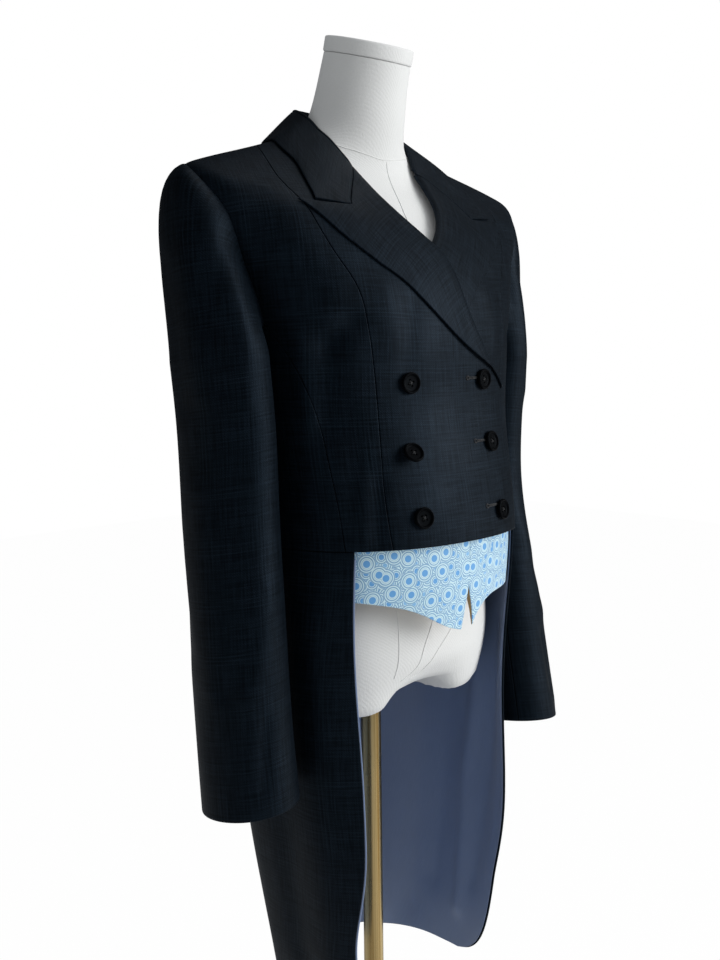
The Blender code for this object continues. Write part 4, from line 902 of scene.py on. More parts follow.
BULGE_UP, BULGE_OUT, BULGE_FULL = 0.75, 0.66, 0.7
collar_table = np.array(COLLAR_ROWS, float)
end_share = close_rows(0.03, 0.003)[:-1, None]
front_end = np.array(COLLAR_END) + (collar_table[0] - np.array(COLLAR_END)) * end_share
round_neck = np.r_[44:68:1.0, 68:180.1:2.0]
round_rows = np.column_stack([round_neck, curve_through(collar_table[:, 0], collar_table[:, 1:], round_neck)])
half_rows = np.concatenate([front_end, round_rows])
collar_side = np.r_[np.full(len(half_rows), RIGHT), np.full(len(half_rows) - 1, LEFT)]
row = columns(COLLAR_COLUMNS, np.concatenate([half_rows, half_rows[-2::-1]]))
fold_line = np.stack([collar_side * row["fold_x"], row["fold_y"], row["fold_z"]], -1)
on_right, on_left = (on_side(side, row["edge_angle"], row["edge_level"], CLOTH + LAID)
                     for side in (RIGHT, LEFT))
collar_edge = np.where(collar_side[:, None] < 0, on_right, on_left)
collar_foot = body(collar_side * row["foot_angle"], np.full(len(collar_side), NECKLINE + NECK_SEAM), CLOTH)
up = np.array([0, 0, 1.0])
away = unit((collar_edge - fold_line) * (1, 1, 0))
lift = up * BULGE_UP + away * BULGE_OUT
print("the fold line is", round(float(lengths(fold_line[None], 1)[0, -1]), 3), "m long")

# %% The collar's profiles: a straight stand, a half circle over the fold, and the fall
stand = np.linspace(0, 1, 9)[:, None, None]
bend_angle = np.linspace(0, np.pi, 9)[1:, None, None]
fall = close_rows(0.045, 0.003)[1:, None, None]
stand_points = collar_foot + (fold_line - away * FOLD_RADIUS - collar_foot) * stand
bend_points = fold_line - away * FOLD_RADIUS * np.cos(bend_angle) + up * FOLD_RADIUS * np.sin(bend_angle)
fall_start = fold_line + away * FOLD_RADIUS
fall_points = (fall_start + (collar_edge - fall_start) * fall
               + lift * row["bulge"][:, None] * np.sin(np.pi * np.clip(fall, 0, 1)) ** BULGE_FULL)
inner = np.concatenate([stand_points, bend_points, fall_points]).transpose(1, 0, 2)
print("the collar has", inner.shape[0], "profiles of", inner.shape[1], "points")

# %% The collar's front ends, drawn out along the joint with each lapel
first_full = len(end_share)
front_ends = {"right": (slice(0, first_full), first_full),
              "left": (slice(-1, -first_full - 1, -1), len(inner) - 1 - first_full)}
for word, (rows, full) in front_ends.items():
    joint, joint_run = collar_joint[word], lengths(collar_joint[word][None], 1)[0]
    profile_run = lengths(inner[full, len(stand) - 1 :][None], 1)[0]
    wanted = profile_run / profile_run[-1] * joint_run[-1]
    end_row = np.stack([np.interp(wanted, joint_run, joint[:, axis]) for axis in range(3)], -1)
    end_row += unit(inner[full, len(stand) - 1 :] - end_row) * NECK_SEAM / 2
    inner[rows, len(stand) - 1 :] = end_row + (inner[full, len(stand) - 1 :] - end_row) * end_share[:, None]
slope = unit(np.cross(np.gradient(inner, axis=0), np.gradient(inner, axis=1)))
slope *= np.sign((slope[:, -8:] * lift[:, None]).sum())
edge = edge_distance(inner)
outer = inner + slope * turned_in(edge, CLOTH)[..., None]
outer[:, 0] = body(collar_side * row["foot_angle"], np.full(len(collar_side), NECKLINE + NECK_SEAM), 0.0)
has_stand = row["foot_angle"] >= STAND_FROM
keep = np.ones((inner.shape[0] - 1, inner.shape[1] - 1), bool)
keep[:, : len(stand) - 1] = (has_stand[:-1] & has_stand[1:])[:, None]
grain = np.stack([lengths(outer, 0), lengths(outer, 1)], -1)
piece = shell("collar", inner, outer, [wool], grain, None, keep)
declare(piece, ["collar"])

# %% [markdown]
# ## Sleeves
# A tailored sleeve is two pieces, an upper and an under sleeve. Its head leaves the armhole outwards, turns
# over and hangs down: a Hermite curve from the armhole to the first ring, then rings down to the cuff. Empty
# sleeves hang in long soft folds, which are added along the surface's normal.

# %% Sleeve shapes
SLEEVE_COLUMNS = "level middle_x middle_y half_width half_depth"
SLEEVE_RINGS = {
    "right": [
        (1.215, 0.1930, -0.0160, 0.0335, 0.0560),
        (1.160, 0.1895, -0.0180, 0.0345, 0.0545),
        (1.080, 0.1890, -0.0210, 0.0360, 0.0520),
        (1.000, 0.1900, -0.0272, 0.0375, 0.0500),
        (0.900, 0.1900, -0.0338, 0.0390, 0.0480),
        (0.797, 0.1890, -0.0430, 0.0410, 0.0470),
    ],
    "left": [
        (1.215, 0.1905, 0.0060, 0.0300, 0.0500),
        (1.160, 0.1895, 0.0070, 0.0335, 0.0470),
        (1.080, 0.1885, 0.0060, 0.0345, 0.0450),
        (1.000, 0.1890, -0.0070, 0.0360, 0.0450),
        (0.900, 0.1895, -0.0240, 0.0385, 0.0460),
        (0.797, 0.1890, -0.0420, 0.0410, 0.0470),
    ],
}
ARMHOLE_SHARES, ARMHOLE_TURNS = (0, 8, 13, 21), (90, -50, -130, -270)
HEAD_REACH = {"right": (0.030, 0.35), "left": (0.012, 0.20)}
UNDER_REACH, HEAD_FULL, ARRIVES, HEAD_ARRIVES, DROP_ARRIVES = 0.014, 0.08, 0.003, 0.017, 0.9
CUFF = {"right": 0.817, "left": 0.808}
CUFF_RISE, CUFF_FROM, CUFF_AHEAD, CUFF_ASIDE = 0.009, 0.90, 0.6, 0.4
SLEEVE_TOP, SLEEVE_DEGREE, FOLDS_FROM, HEAD_UNDER, HEAD_AHEAD, HEAD_UP = 1.215, 0.0008, 0.03, 0.6, 0.45, 0.10
SLEEVE_FOLDS = [
    # turn, height, to turn, to height, half width, height of the fold
    (30, 1.330, 60, 1.250, 0.012, -0.0022),
    (75, 1.320, 70, 1.190, 0.014, 0.0020),
    (10, 1.290, 25, 1.180, 0.012, 0.0016),
    (110, 1.300, 105, 1.180, 0.013, -0.0016),
    (40, 1.150, 45, 0.980, 0.012, -0.0012),
    (80, 1.100, 76, 0.930, 0.014, 0.0014),
    (5, 1.020, 30, 0.930, 0.012, 0.0016),
    (20, 0.985, 60, 0.930, 0.009, -0.0014),
    (150, 1.050, 120, 0.960, 0.012, -0.0016),
    (15, 0.905, 22, 0.845, 0.006, -0.0016),
    (35, 0.930, 38, 0.830, 0.010, 0.0010),
    (200, 1.120, 205, 0.900, 0.014, 0.0016),
    (240, 1.150, 235, 0.930, 0.013, -0.0014),
]


print("cuffs", CUFF["right"], "and", CUFF["left"], "m up")


# %% Rings of a sleeve, and its head
def sleeve_ring(word, turn, level):
    """A ring of the sleeve: an ellipse round its middle, whose place and size are splines of the level."""
    table = columns(SLEEVE_COLUMNS, SLEEVE_RINGS[word][::-1])
    sizes = np.stack([table[name] for name in SLEEVE_COLUMNS.split()[1:]], 1)
    read = curve_through(table["level"], sizes, level)
    middle_x, middle_y, half_width, half_depth = np.moveaxis(read, -1, 0)
    x = SIDES[word] * (middle_x + half_width * np.sin(turn))
    return np.stack([x, middle_y - half_depth * np.cos(turn), level + 0 * turn], -1)


def sleeve_grid(word, t, head_steps, levels):
    """The sleeve's inner face: round it from the shoulder tip by the front, and down from the armhole. The
    head is the Hermite cubic from the armhole to the first ring, first outwards and then straight down."""
    side = SIDES[word]
    spans = np.diff(ARMHOLE_SHARES)
    armhole = follow(*zip((ARMHOLE_FRONT[::-1], ARMHOLE_UNDER, ARMHOLE_BACK), spans))(t)
    start = on_side(side, armhole[:, 0], armhole[:, 1], CLOTH * HEAD_UNDER)
    turn = np.radians(np.interp(t * ARMHOLE_SHARES[-1], ARMHOLE_SHARES, ARMHOLE_TURNS))
    first = sleeve_ring(word, turn, SLEEVE_TOP)
    drop = (start[:, 2] - first[:, 2])[:, None]
    head = smooth_step(drop / HEAD_FULL)
    reach = UNDER_REACH + (HEAD_REACH[word][0] - UNDER_REACH) * head + HEAD_REACH[word][1] * drop
    outwards = np.stack([side * np.ones_like(turn), -HEAD_AHEAD * np.cos(turn), HEAD_UP * np.sin(turn)], -1)
    leave = outwards * reach
    arrive = np.array([0, 0, -1.0]) * (ARRIVES + HEAD_ARRIVES * head + DROP_ARRIVES * drop)
    h = head_steps[:, None, None]
    grid = np.concatenate([
        (2 * h**3 - 3 * h**2 + 1) * start + (h**3 - 2 * h**2 + h) * leave + (3 * h**2 - 2 * h**3) * first
        + (h**3 - h**2) * arrive, sleeve_ring(word, turn[None], levels[:, None])])
    rise = CUFF_RISE * (CUFF_AHEAD * np.cos(turn) - CUFF_ASIDE * np.sin(turn))
    grid[..., 2] += smooth_step((CUFF_FROM - grid[..., 2]) / (CUFF_FROM - CUFF[word])) * rise
    return grid.transpose(1, 0, 2), np.degrees(turn)


# %% Upper and under sleeves
UNDER_FROM, UNDER_TO = 8 / 21, 15 / 21
under_t = UNDER_FROM + (UNDER_TO - UNDER_FROM) * close_rows(0.10)
upper_t = UNDER_TO + (1 - UNDER_TO + UNDER_FROM) * close_rows(0.20)
round_t = np.concatenate([under_t[:-1], upper_t[:-1]])
head_steps = np.r_[0.0, 0.004, 0.010, 0.018, 0.03, 0.05:1.0:0.03]
for word, side in SIDES.items():
    levels = SLEEVE_TOP - (SLEEVE_TOP - CUFF[word]) * close_rows(0.40)[4:]
    levels[0] = SLEEVE_TOP
    ring, turn = sleeve_grid(word, round_t % 1.0, head_steps, levels)
    normal = unit(np.cross(np.roll(ring, -1, 0) - np.roll(ring, 1, 0), np.gradient(ring, axis=1)))
    normal *= np.sign((normal * (ring - ring.mean(axis=0))).sum())
    faded = smooth_step(lengths(ring, 1) / FOLDS_FROM)
    across = np.where(turn < -90, turn + 360, turn)[:, None] * SLEEVE_DEGREE
    table = [(a * SLEEVE_DEGREE, z, b * SLEEVE_DEGREE, w, half, height)
             for a, z, b, w, half, height in SLEEVE_FOLDS]
    ring = ring + normal * (folds(table, across, ring[..., 2]) * faded)[..., None]
    index = {"under": np.arange(len(under_t)),
             "upper": np.arange(len(under_t) - 1, len(round_t) + 1) % len(round_t)}
    for name, which in index.items():
        inner = ring[which]
        edge = edge_distance(inner)
        outer = inner + normal[which] * turned_in(edge, CLOTH)[..., None]
        up_cuff = lengths(outer, 1)
        grain = np.stack([lengths(outer, 0)[:, -1:] + 0 * up_cuff, up_cuff[:, -1:] - up_cuff], -1)
        piece = shell(f"{name}_sleeve_{word}", inner, outer, [wool], grain, edge_distance(inner, top=False))
        declare(piece, [f"{name}_sleeve_{word}"])

# %% [markdown]
# ## Waistcoat points
# Two points of a waistcoat are sewn in under the front hem and part at a slit. They are shells on the same
# body surface, a little further in, with a tan cotton backing that shows at the slit.

# %% Waistcoat
WAISTCOAT_TOP, WAISTCOAT_SIDE, WAISTCOAT_GAP, WAISTCOAT_INSET = 1.058, 74, 0.0013, 0.0028
WAVE_DEEP, WAVE_DEGREES, WAVE_PHASE, WAVE_TOP, WAVE_FADE = 0.0010, 9.0, 1.0, 1.04, 0.06
TUCK_HIGH, SILK_TURN = 0.02, 0.0008
WAISTCOAT = {
    "right": [(74, 0.999), (49, 0.997), (41, 0.994), (30, 0.988), (20, 0.9785), (7, 0.963), (-1, 0.9575)],
    "left": [(74, 0.985), (44, 0.985), (30, 0.9855), (20, 0.984), (14, 0.978), (10, 0.9685), (8, 0.9595)],
}
SLIT = {
    "right": [(-1, 0.9575), (-2.1, 0.979), (-3.15, 1.000), (-3.15, 1.03), (-3.15, WAISTCOAT_TOP)],
    "left": [(8, 0.9595), (5.7, 0.981), (3.15, 1.000), (3.15, 1.03), (3.15, WAISTCOAT_TOP)],
}
LIP_DEEP, LIP_HALF = 0.0050, 0.004
LIP_LEVELS, LIP_SHARES = (0.960, 0.985, 0.998, 1.006), (0.1, 0.8, 1.0, 0.0)
for word, side in SIDES.items():
    top_corner = (WAISTCOAT_SIDE, WAISTCOAT_TOP)
    places = filled_in(follow((WAISTCOAT[word], 1)), straight(top_corner, SLIT[word][-1]),
                       straight(WAISTCOAT[word][0], top_corner), follow((SLIT[word], 1)),
                       close_rows(0.18, 0.003), close_rows(0.09, 0.003))
    angle, level = side * places[..., 0], places[..., 1]
    tucked = WAISTCOAT_INSET * smooth_step((WAISTCOAT_TOP - level) / TUCK_HIGH) + WAISTCOAT_GAP
    wave = np.sin(places[..., 0] / WAVE_DEGREES + WAVE_PHASE)
    within = -tucked - SATIN + WAVE_DEEP * smooth_step((WAVE_TOP - level) / WAVE_FADE) * wave
    inner = body(angle, level, within)
    outer = body(angle, level, within + turned_in(edge_distance(inner), SATIN, SILK_TURN))
    if word == "left":
        from_slit = lengths(inner[::-1], 0)[::-1]
        lip = np.exp(-((from_slit / LIP_HALF) ** 2)) * np.interp(level, LIP_LEVELS, LIP_SHARES)
        inner = body(angle, level, within - LIP_DEEP * lip)
    piece = shell(f"waistcoat_{word}", inner, outer, [jacquard, backing], cloth_map(RIGHT, -angle, level))
    declare(piece, [f"waistcoat_{word}"])

# %% [markdown]
# ## Buttons and buttonholes
# A flat horn button is turned on a lathe, drilled with four holes and sewn on with crossed thread. The
# shape is a profile turned round its axis, with four round dips for the holes. One hangs by its shank.

# %% Button
BUTTON_RADIUS, BUTTON_STANDOFF = 0.0100, 0.0004
HOLE_AT, HOLE_RADIUS, HOLE_DEEP, FACE_ABOVE = 0.0019, 0.00085, 0.0016, 0.0019
HOLE_RIM, HOLE_SLOPE = 1.25, 0.5
BUTTON_ROWS = {
    "button_side": [(26.5, 1.1942, 0), (27, 1.1300, 26), (23.5, 1.0727, 0)],
    "button_edge": [(-19.7, 1.1950, 0), (-21, 1.1346, 0), (-20.3, 1.0694, 0)],
}
r = BUTTON_RADIUS
BUTTON_BACK = [(0, 0), (0.60 * r, 0), (0.86 * r, 0.0005), (0.96 * r, 0.0012), (r, 0.0022)]
BUTTON_FACE = [(r, 0.0022), (0.975 * r, 0.0032), (0.92 * r, 0.0038), (0.86 * r, 0.0040), (0.80 * r, 0.0037),
               (0.75 * r, 0.0029), (0.70 * r, 0.0024), (0.60 * r, 0.0022), (0, 0.0022)]


def fine_profile(rows, count):
    """A smooth profile through the rows, at even lengths."""
    rows = np.array(rows, float)
    run = np.r_[0, np.cumsum(np.linalg.norm(np.diff(rows, axis=0), axis=1))]
    return curve_through(run, rows, np.linspace(0, run[-1], count))


def turned(profile, sides):
    """A profile of (radius, height) turned round Z, as a grid: x = r cos a, y = r sin a, z = height."""
    a = np.linspace(0, 2 * np.pi, sides, endpoint=False)[:, None]
    return np.stack([profile[:, 0] * np.cos(a), profile[:, 0] * np.sin(a), profile[:, 1] + 0 * a], -1)


def placed(points, frame_axes, origin):
    """Points moved from their own axes to the place on the coat."""
    return points @ frame_axes + origin


def tube(path, radius, sides=8, closed=False):
    """A tube along a path: circles across its direction. A radius that ends in 0 closes it to a point."""
    ahead = np.roll(path, -1, 0) - np.roll(path, 1, 0) if closed else np.gradient(path, axis=0)
    ahead = unit(ahead)
    beside = unit(np.cross(ahead, (0.13, 0.21, 0.97)))
    above = np.cross(beside, ahead)
    a = np.linspace(0, 2 * np.pi, sides, endpoint=False)[None, :, None]
    wide = (np.ones(len(path)) * radius)[:, None, None]
    return path[:, None] + (np.cos(a) * beside[:, None] + np.sin(a) * above[:, None]) * wide


# %% The button's face, drilled
profile = np.concatenate([fine_profile(BUTTON_BACK, 12), fine_profile(BUTTON_FACE, 56)[1:]])
button = turned(profile, 72)
for hole_x in (-HOLE_AT, HOLE_AT):
    for hole_y in (-HOLE_AT, HOLE_AT):
        away = np.hypot(button[..., 0] - hole_x, button[..., 1] - hole_y)
        drilled = smooth_step((HOLE_RADIUS * HOLE_RIM - away) / (HOLE_RADIUS * HOLE_SLOPE))
        button[..., 2] -= HOLE_DEEP * drilled * (button[..., 2] > FACE_ABOVE)
print("a button of", 2 * r * 1000, "mm with", button.shape[0] * button.shape[1], "points")

# %% Stitches and shank, as tubes
STITCH_RADIUS, STITCH_APART, STITCH_LOW, STITCH_RISE = 0.00030, 0.00028, 0.0010, 0.0018
SHANK_RADIUS, SHANK_SUNK = 0.0013, 0.0004
STITCHES = [((-HOLE_AT, -HOLE_AT), (HOLE_AT, HOLE_AT)), ((-HOLE_AT, HOLE_AT), (HOLE_AT, -HOLE_AT))]


def bowed(start, end, rise, count=10):
    """A stitch: a line between two holes that bows up by a sine."""
    s = np.linspace(0, 1, count)[:, None]
    return start + (end - start) * s + np.array([0, 0, 1.0]) * rise * np.sin(np.pi * s)


def joined_grids(grids, closed=False):
    """The points and faces of several tubes as one mesh."""
    faces, done = [], 0
    for grid in grids:
        faces.append(grid_quads(*grid.shape[:2], wrap=closed, around=True) + done)
        done += grid.shape[0] * grid.shape[1]
    return np.concatenate([grid.reshape(-1, 3) for grid in grids]), np.concatenate(faces)


def pointed(count, radius):
    """A tube's radius at each point of its path, with nothing at both ends."""
    return np.r_[0.0, np.full(count - 2, radius), 0.0]


def crossed_stitches(axes, origin, in_cloth):
    """Two stitches side by side over each diagonal of the holes, and a shank down into the cloth."""
    sewn = []
    for offset in (-STITCH_APART, STITCH_APART):
        for (x0, y0), (x1, y1) in STITCHES:
            side_step = np.array([-(y1 - y0), x1 - x0, 0.0])
            side_step *= offset / np.linalg.norm(side_step)
            start, end = (np.array([x, y, STITCH_LOW]) + side_step for x, y in ((x0, y0), (x1, y1)))
            stitch = tube(bowed(start, end, STITCH_RISE), pointed(10, STITCH_RADIUS))
            sewn.append(placed(stitch, axes, origin))
    shank = np.linspace(0, 1, 6)[:, None] * (in_cloth - origin) + origin + axes[2] * SHANK_SUNK
    return sewn + [tube(shank, pointed(6, SHANK_RADIUS))]


print(len(STITCHES) * 2, "stitches in each button")


# %% Pieces that aren't sheets
def make_whole(piece):
    """Joins the points that meet at a piece's poles and turns its faces outwards."""
    work = bmesh.new()
    work.from_mesh(piece.data)
    bmesh.ops.remove_doubles(work, verts=work.verts, dist=1e-6)
    bmesh.ops.recalc_face_normals(work, faces=work.faces)
    work.to_mesh(piece.data)
    work.free()


def closed_piece(name, points, faces, material, node=None, smooth=60):
    """A piece that isn't a sheet, closed at its poles, in place of its solid if it has one."""
    piece = new_piece(name, points.reshape(-1, 3), faces, [material], smooth=smooth)
    make_whole(piece)
    if node:
        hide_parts(node)
    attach(piece, "root")


print(len(made_pieces), "pieces so far")

# %% Sewing the buttons on
def button_axes(outwards, tip, twist):
    """A button's own axes: Z is the cloth's normal, tipped down, and X and Y are twisted about it."""
    lean = unit(np.cross(outwards, (0, 0, 1)))
    axis = outwards * math.cos(tip) + np.cross(lean, outwards) * math.sin(tip)
    x_axis = np.cross(lean, axis)
    y_axis = np.cross(axis, x_axis)
    return np.array([x_axis * math.cos(twist) + y_axis * math.sin(twist),
                     y_axis * math.cos(twist) - x_axis * math.sin(twist), axis])


FIRST_TWIST, NEXT_TWIST, COLUMN_TWIST = 40, 17, {"button_side": 8, "button_edge": 0}
button_faces = grid_quads(*button.shape[:2], wrap=True)[:, ::-1]
for name, rows in BUTTON_ROWS.items():
    for number, (angle, level, tip) in enumerate(rows, 1):
        at = (RIGHT, np.array(float(angle)), np.array(level))
        on_cloth = on_side(*at, CLOTH)
        outwards = on_side(*at, CLOTH + 1.0) - on_cloth
        tip, twist = np.radians([tip, FIRST_TWIST + NEXT_TWIST * number + COLUMN_TWIST[name]]).tolist()
        axes = button_axes(outwards, tip, twist)
        lowest = max(rim * math.sin(tip) - height * math.cos(tip) for rim, height in profile)
        origin = on_cloth + outwards * (BUTTON_STANDOFF + lowest)
        closed_piece(f"{name}_{number}", placed(button, axes, origin), button_faces, horn,
                     f"{name}_{number}")
        points, faces = joined_grids(crossed_stitches(axes, origin, on_cloth - outwards * SHANK_SUNK))
        closed_piece(f"{name}_{number}_thread", points, faces[:, ::-1], thread)
print(len([name for name in made_pieces if name.startswith("button")]), "pieces of buttons and thread")

# %% [markdown]
# ## Keyhole buttonholes
# Beside each button near the edge is a buttonhole: a round eye and a straight slit, bound with close purl
# stitches over a cord. It is a closed tube along the keyhole's outline, which swells once for every stitch.

# %% Buttonholes
EYE_RADIUS, EYE_OPEN, SLIT_LONG, SLIT_HALF = 0.0017, 25, 0.0150, 0.0005
PURL_RADIUS, PURL_STITCHES, PURL_SWELL, PURL_ABOVE, EDGE_DEGREE = 0.00055, 46, 0.35, 0.0002, 0.00222
BUTTONHOLES = [(-8.8, 1.1967), (-10.3, 1.1365), (-10.9, 1.0751)]
eye = np.radians(np.linspace(EYE_OPEN, 360 - EYE_OPEN, 40))
round_eye = np.stack([-EYE_RADIUS * np.cos(eye), EYE_RADIUS * np.sin(eye)], -1)
bar = [[-SLIT_LONG, -SLIT_HALF], [-SLIT_LONG - SLIT_HALF, 0.0], [-SLIT_LONG, SLIT_HALF]]
keyhole = np.concatenate([round_eye, bar, round_eye[:1]])
run = np.r_[0, np.cumsum(np.linalg.norm(np.diff(keyhole, axis=0), axis=1))]
even = np.linspace(0, run[-1], 300, endpoint=False)
outline = np.stack([np.interp(even, run, keyhole[:, k]) for k in (0, 1)], -1)
purl = np.abs(np.sin(np.linspace(0, np.pi * PURL_STITCHES, len(outline), endpoint=False)))
for number, (angle, level) in enumerate(BUTTONHOLES, 1):
    path = on_side(RIGHT, angle + outline[:, 0] / EDGE_DEGREE, level + outline[:, 1], CLOTH + PURL_ABOVE)
    bound = tube(path, PURL_RADIUS * (1 + PURL_SWELL * purl), 10, closed=True)
    points, faces = joined_grids([bound], closed=True)
    closed_piece(f"buttonhole_{number}", points, faces[:, ::-1], thread)
print(len(BUTTONHOLES), "buttonholes of", SLIT_LONG * 1000, "mm")

# %% [markdown]
# ## Dress form, cap, pole and foot
# The form is a papier mache torso under stretched jersey, sewn in long panels. It has the rings of its solid,
# with a spline through them at each angle, and at the shoulders it follows the coat, a little further in. Its
# seams stand up as thin welts of the same jersey, each a line of places cast straight onto the form.

# %% Dress form
FORM_RINGS = [
    (0.885, 0.132, 0.088, 0.092, 0.000, 0.885, 0.885, 0.885, 2.10),
    (0.915, 0.139, 0.096, 0.101, 0.000, 0.915, 0.915, 0.915, 2.10),
    (0.960, 0.140, 0.099, 0.103, 0.000, 0.960, 0.960, 0.960, 2.10),
    (1.020, 0.130, 0.092, 0.094, 0.000, 1.020, 1.020, 1.020, 2.10),
    (1.090, 0.116, 0.084, 0.084, 0.000, 1.090, 1.090, 1.090, 2.10),
    (1.165, 0.126, 0.090, 0.088, 0.000, 1.165, 1.165, 1.165, 2.10),
    (1.245, 0.146, 0.101, 0.098, 0.000, 1.245, 1.242, 1.245, 2.10),
    (1.310, 0.164, 0.096, 0.100, 0.003, 1.310, 1.290, 1.305, 2.10),
    (1.375, 0.180, 0.080, 0.089, 0.007, 1.372, 1.334, 1.358, 1.90),
    (1.455, 0.1375, 0.064, 0.075, 0.015, 1.4060, 1.367, 1.402, 1.80),
    (1.515, 0.0630, 0.043, 0.052, 0.018, 1.4235, 1.404, 1.428, 1.90),
    (1.545, 0.0485, 0.0445, 0.049, 0.011, 1.4430, 1.427, 1.454, 2.00),
    (1.600, 0.0440, 0.0425, 0.0445, 0.003, 1.4725, 1.459, 1.486, 2.00),
    (1.650, 0.0420, 0.0420, 0.0420, -0.0055, 1.5050, 1.493, 1.517, 2.00),
]
FORM_CLEAR, FORM_SLACK, SLACK_POWER = 0.0012, 0.0055, 0.6
UNDER_SHARES = (0.0, 0.10, 0.20, 0.30, 0.41, 0.52, 0.63, 0.73, 0.81, 0.89, 0.95)
TOP_SHARES = (0.6, 0.2, 0.0)
STUB_LOW, STUB_ROUND, ARCH_TOP, ARCH_HALF = 0.867, 0.017, 0.898, 0.042
CLEFT_DEEP, CLEFT_HALF, CLEFT_HIGH, NECK_BASE = 0.034, 0.046, 0.062, 1.540
FORM_SIDES, FORM_STEP, FORM_PASSES, FORM_MIDDLE_Y, EDGE_SHAPE = 168, 0.005, 6, 0.002, 0.09


def bell(x, half, power):
    """1 at the middle, falling off about half away from it, the more steeply the higher the power."""
    return np.exp(-(np.abs(x / half) ** power))


theta = np.linspace(0, 360, FORM_SIDES, endpoint=False)
trunk = (0.885, 0.905, 0.935, 0.975, 1.02, 1.06, 1.10, 1.15, 1.20, 1.245, 1.285, 1.32, 1.35, 1.375)
shoulders = (1.40, 1.43, 1.46, 1.49)
neck = (1.515, 1.530, 1.545, 1.575, 1.61, 1.650)
slack = FORM_CLEAR + FORM_SLACK * np.abs(np.cos(np.radians(theta))) ** SLACK_POWER
tip_slack = np.interp(shoulders, shoulders[:2], (FORM_SLACK / 3, 0.0))
rings = [ring_point(FORM_RINGS, theta, level) for level in trunk]
rings += [body(theta, np.full(FORM_SIDES, level), -slack - more)
          for level, more in zip(shoulders, tip_slack)]
rings += [ring_point(FORM_RINGS, theta, level) for level in neck]
for level, ring in zip(trunk + shoulders + neck, rings):
    if level > NECK_BASE:
        front, back = ring[0], ring[FORM_SIDES // 2]
        ring[:, 2] = front[2] + (ring[:, 1] - front[1]) * (back[2] - front[2]) / (back[1] - front[1])
rings = np.array(rings)
print("the form has", len(rings), "rings of", FORM_SIDES, "points")

# %% The form's surface, with fine rows between its rings, softened along its height
run = np.r_[0, np.cumsum(np.linalg.norm(np.diff(rings, axis=0), axis=-1).mean(axis=1))]
stretches = [np.linspace(a, b, max(2, round((b - a) / FORM_STEP))) for a, b in zip(run, run[1:])]
fine_run = np.unique(np.concatenate(stretches))
fine = np.stack([np.stack([np.interp(fine_run, run, rings[:, k, axis]) for k in range(FORM_SIDES)], 1)
                 for axis in range(3)], -1)
for _ in range(FORM_PASSES):
    fine[1:-1] = 0.25 * fine[:-2] + 0.5 * fine[1:-1] + 0.25 * fine[2:]
print("and", len(fine), "rows")

# %% Its rounded underside, cleft between the stubs of the legs
middle = np.array([0, FORM_MIDDLE_Y, 0])
under = []
for share in UNDER_SHARES:
    ring = middle + (fine[0] - middle) * share
    ring[:, 2] = STUB_LOW + STUB_ROUND * (1 - math.sqrt(1 - share**4))
    under.append(ring)
top_middle = fine[-1].mean(axis=0)
closing = [top_middle + (fine[-1] - top_middle) * share for share in TOP_SHARES]
form = np.concatenate([under, fine, closing])
low = smooth_step((STUB_LOW + CLEFT_HIGH - form[..., 2]) / CLEFT_HIGH)
edgewise = (form[..., 1] / EDGE_SHAPE) ** 3
rise = (ARCH_TOP - form[..., 2]).clip(0) * bell(form[..., 0], ARCH_HALF, 4)
form[..., 1] -= CLEFT_DEEP * edgewise * bell(form[..., 0], CLEFT_HALF, 2) * low
form[..., 2] += rise
print("the form is", form.shape[0], "by", form.shape[1], "points")

# %% Welts on the form's seams
FORM_SEAMS = [
    [(-0.056, -0.080, 1.120), (-0.052, -0.090, 1.000), (-0.0505, -0.091, 0.9815), (-0.0493, -0.093, 0.9486),
     (-0.0492, -0.092, 0.9319), (-0.0511, -0.086, 0.9113)],
    [(0.000, -0.090, 1.120), (-0.002, -0.095, 1.000), (-0.0091, -0.098, 0.9624), (-0.0204, -0.098, 0.9369),
     (-0.0265, -0.090, 0.9187), (-0.0416, -0.086, 0.9072)],
    [(0.058, -0.080, 1.120), (0.038, -0.090, 0.985), (0.0182, -0.098, 0.9513), (-0.0042, -0.096, 0.9291),
     (-0.0154, -0.087, 0.9137), (-0.0287, -0.084, 0.9059)],
    [(-0.0560, -0.002, 1.4230), (-0.0405, -0.0136, 1.4159), (-0.0331, -0.018, 1.4138),
     (-0.0258, -0.022, 1.4118), (-0.0154, -0.024, 1.4093), (-0.0033, -0.026, 1.4071),
     (0.0143, -0.024, 1.4087), (0.0456, -0.010, 1.4144)],
    [(0.0038, -0.025, 1.406), (0.0043, -0.029, 1.3933), (0.0039, -0.036, 1.3782), (-0.0020, -0.056, 1.3564),
     (-0.001, -0.09, 1.30), (0.0, -0.10, 1.20), (0.0, -0.09, 1.12)],
    [(0.0, 0.06, 1.440), (0.0, 0.09, 1.300), (0.0, 0.09, 1.100), (0.0, 0.10, 0.900)],
]
WELT_RADIUS, WELT_STEP = 0.0006, 0.003


def welt(line, surface):
    """A seam as a thin round welt half sunk in the form: a spline through the line's points, cast on the
    surface along Y from the side that the line is on."""
    line = np.array(line, float)
    run = np.r_[0, np.cumsum(np.linalg.norm(np.diff(line, axis=0), axis=1))]
    path = curve_through(run, line, np.linspace(0, run[-1], round(run[-1] / WELT_STEP)))
    facing = math.copysign(1.0, line[0, 1])
    hits = [surface.ray_cast((x, facing, z), (0.0, -facing, 0.0))[0] for x, _, z in path]
    path = np.array([hit for hit in hits if hit is not None])
    return tube(path, pointed(len(path), WELT_RADIUS))


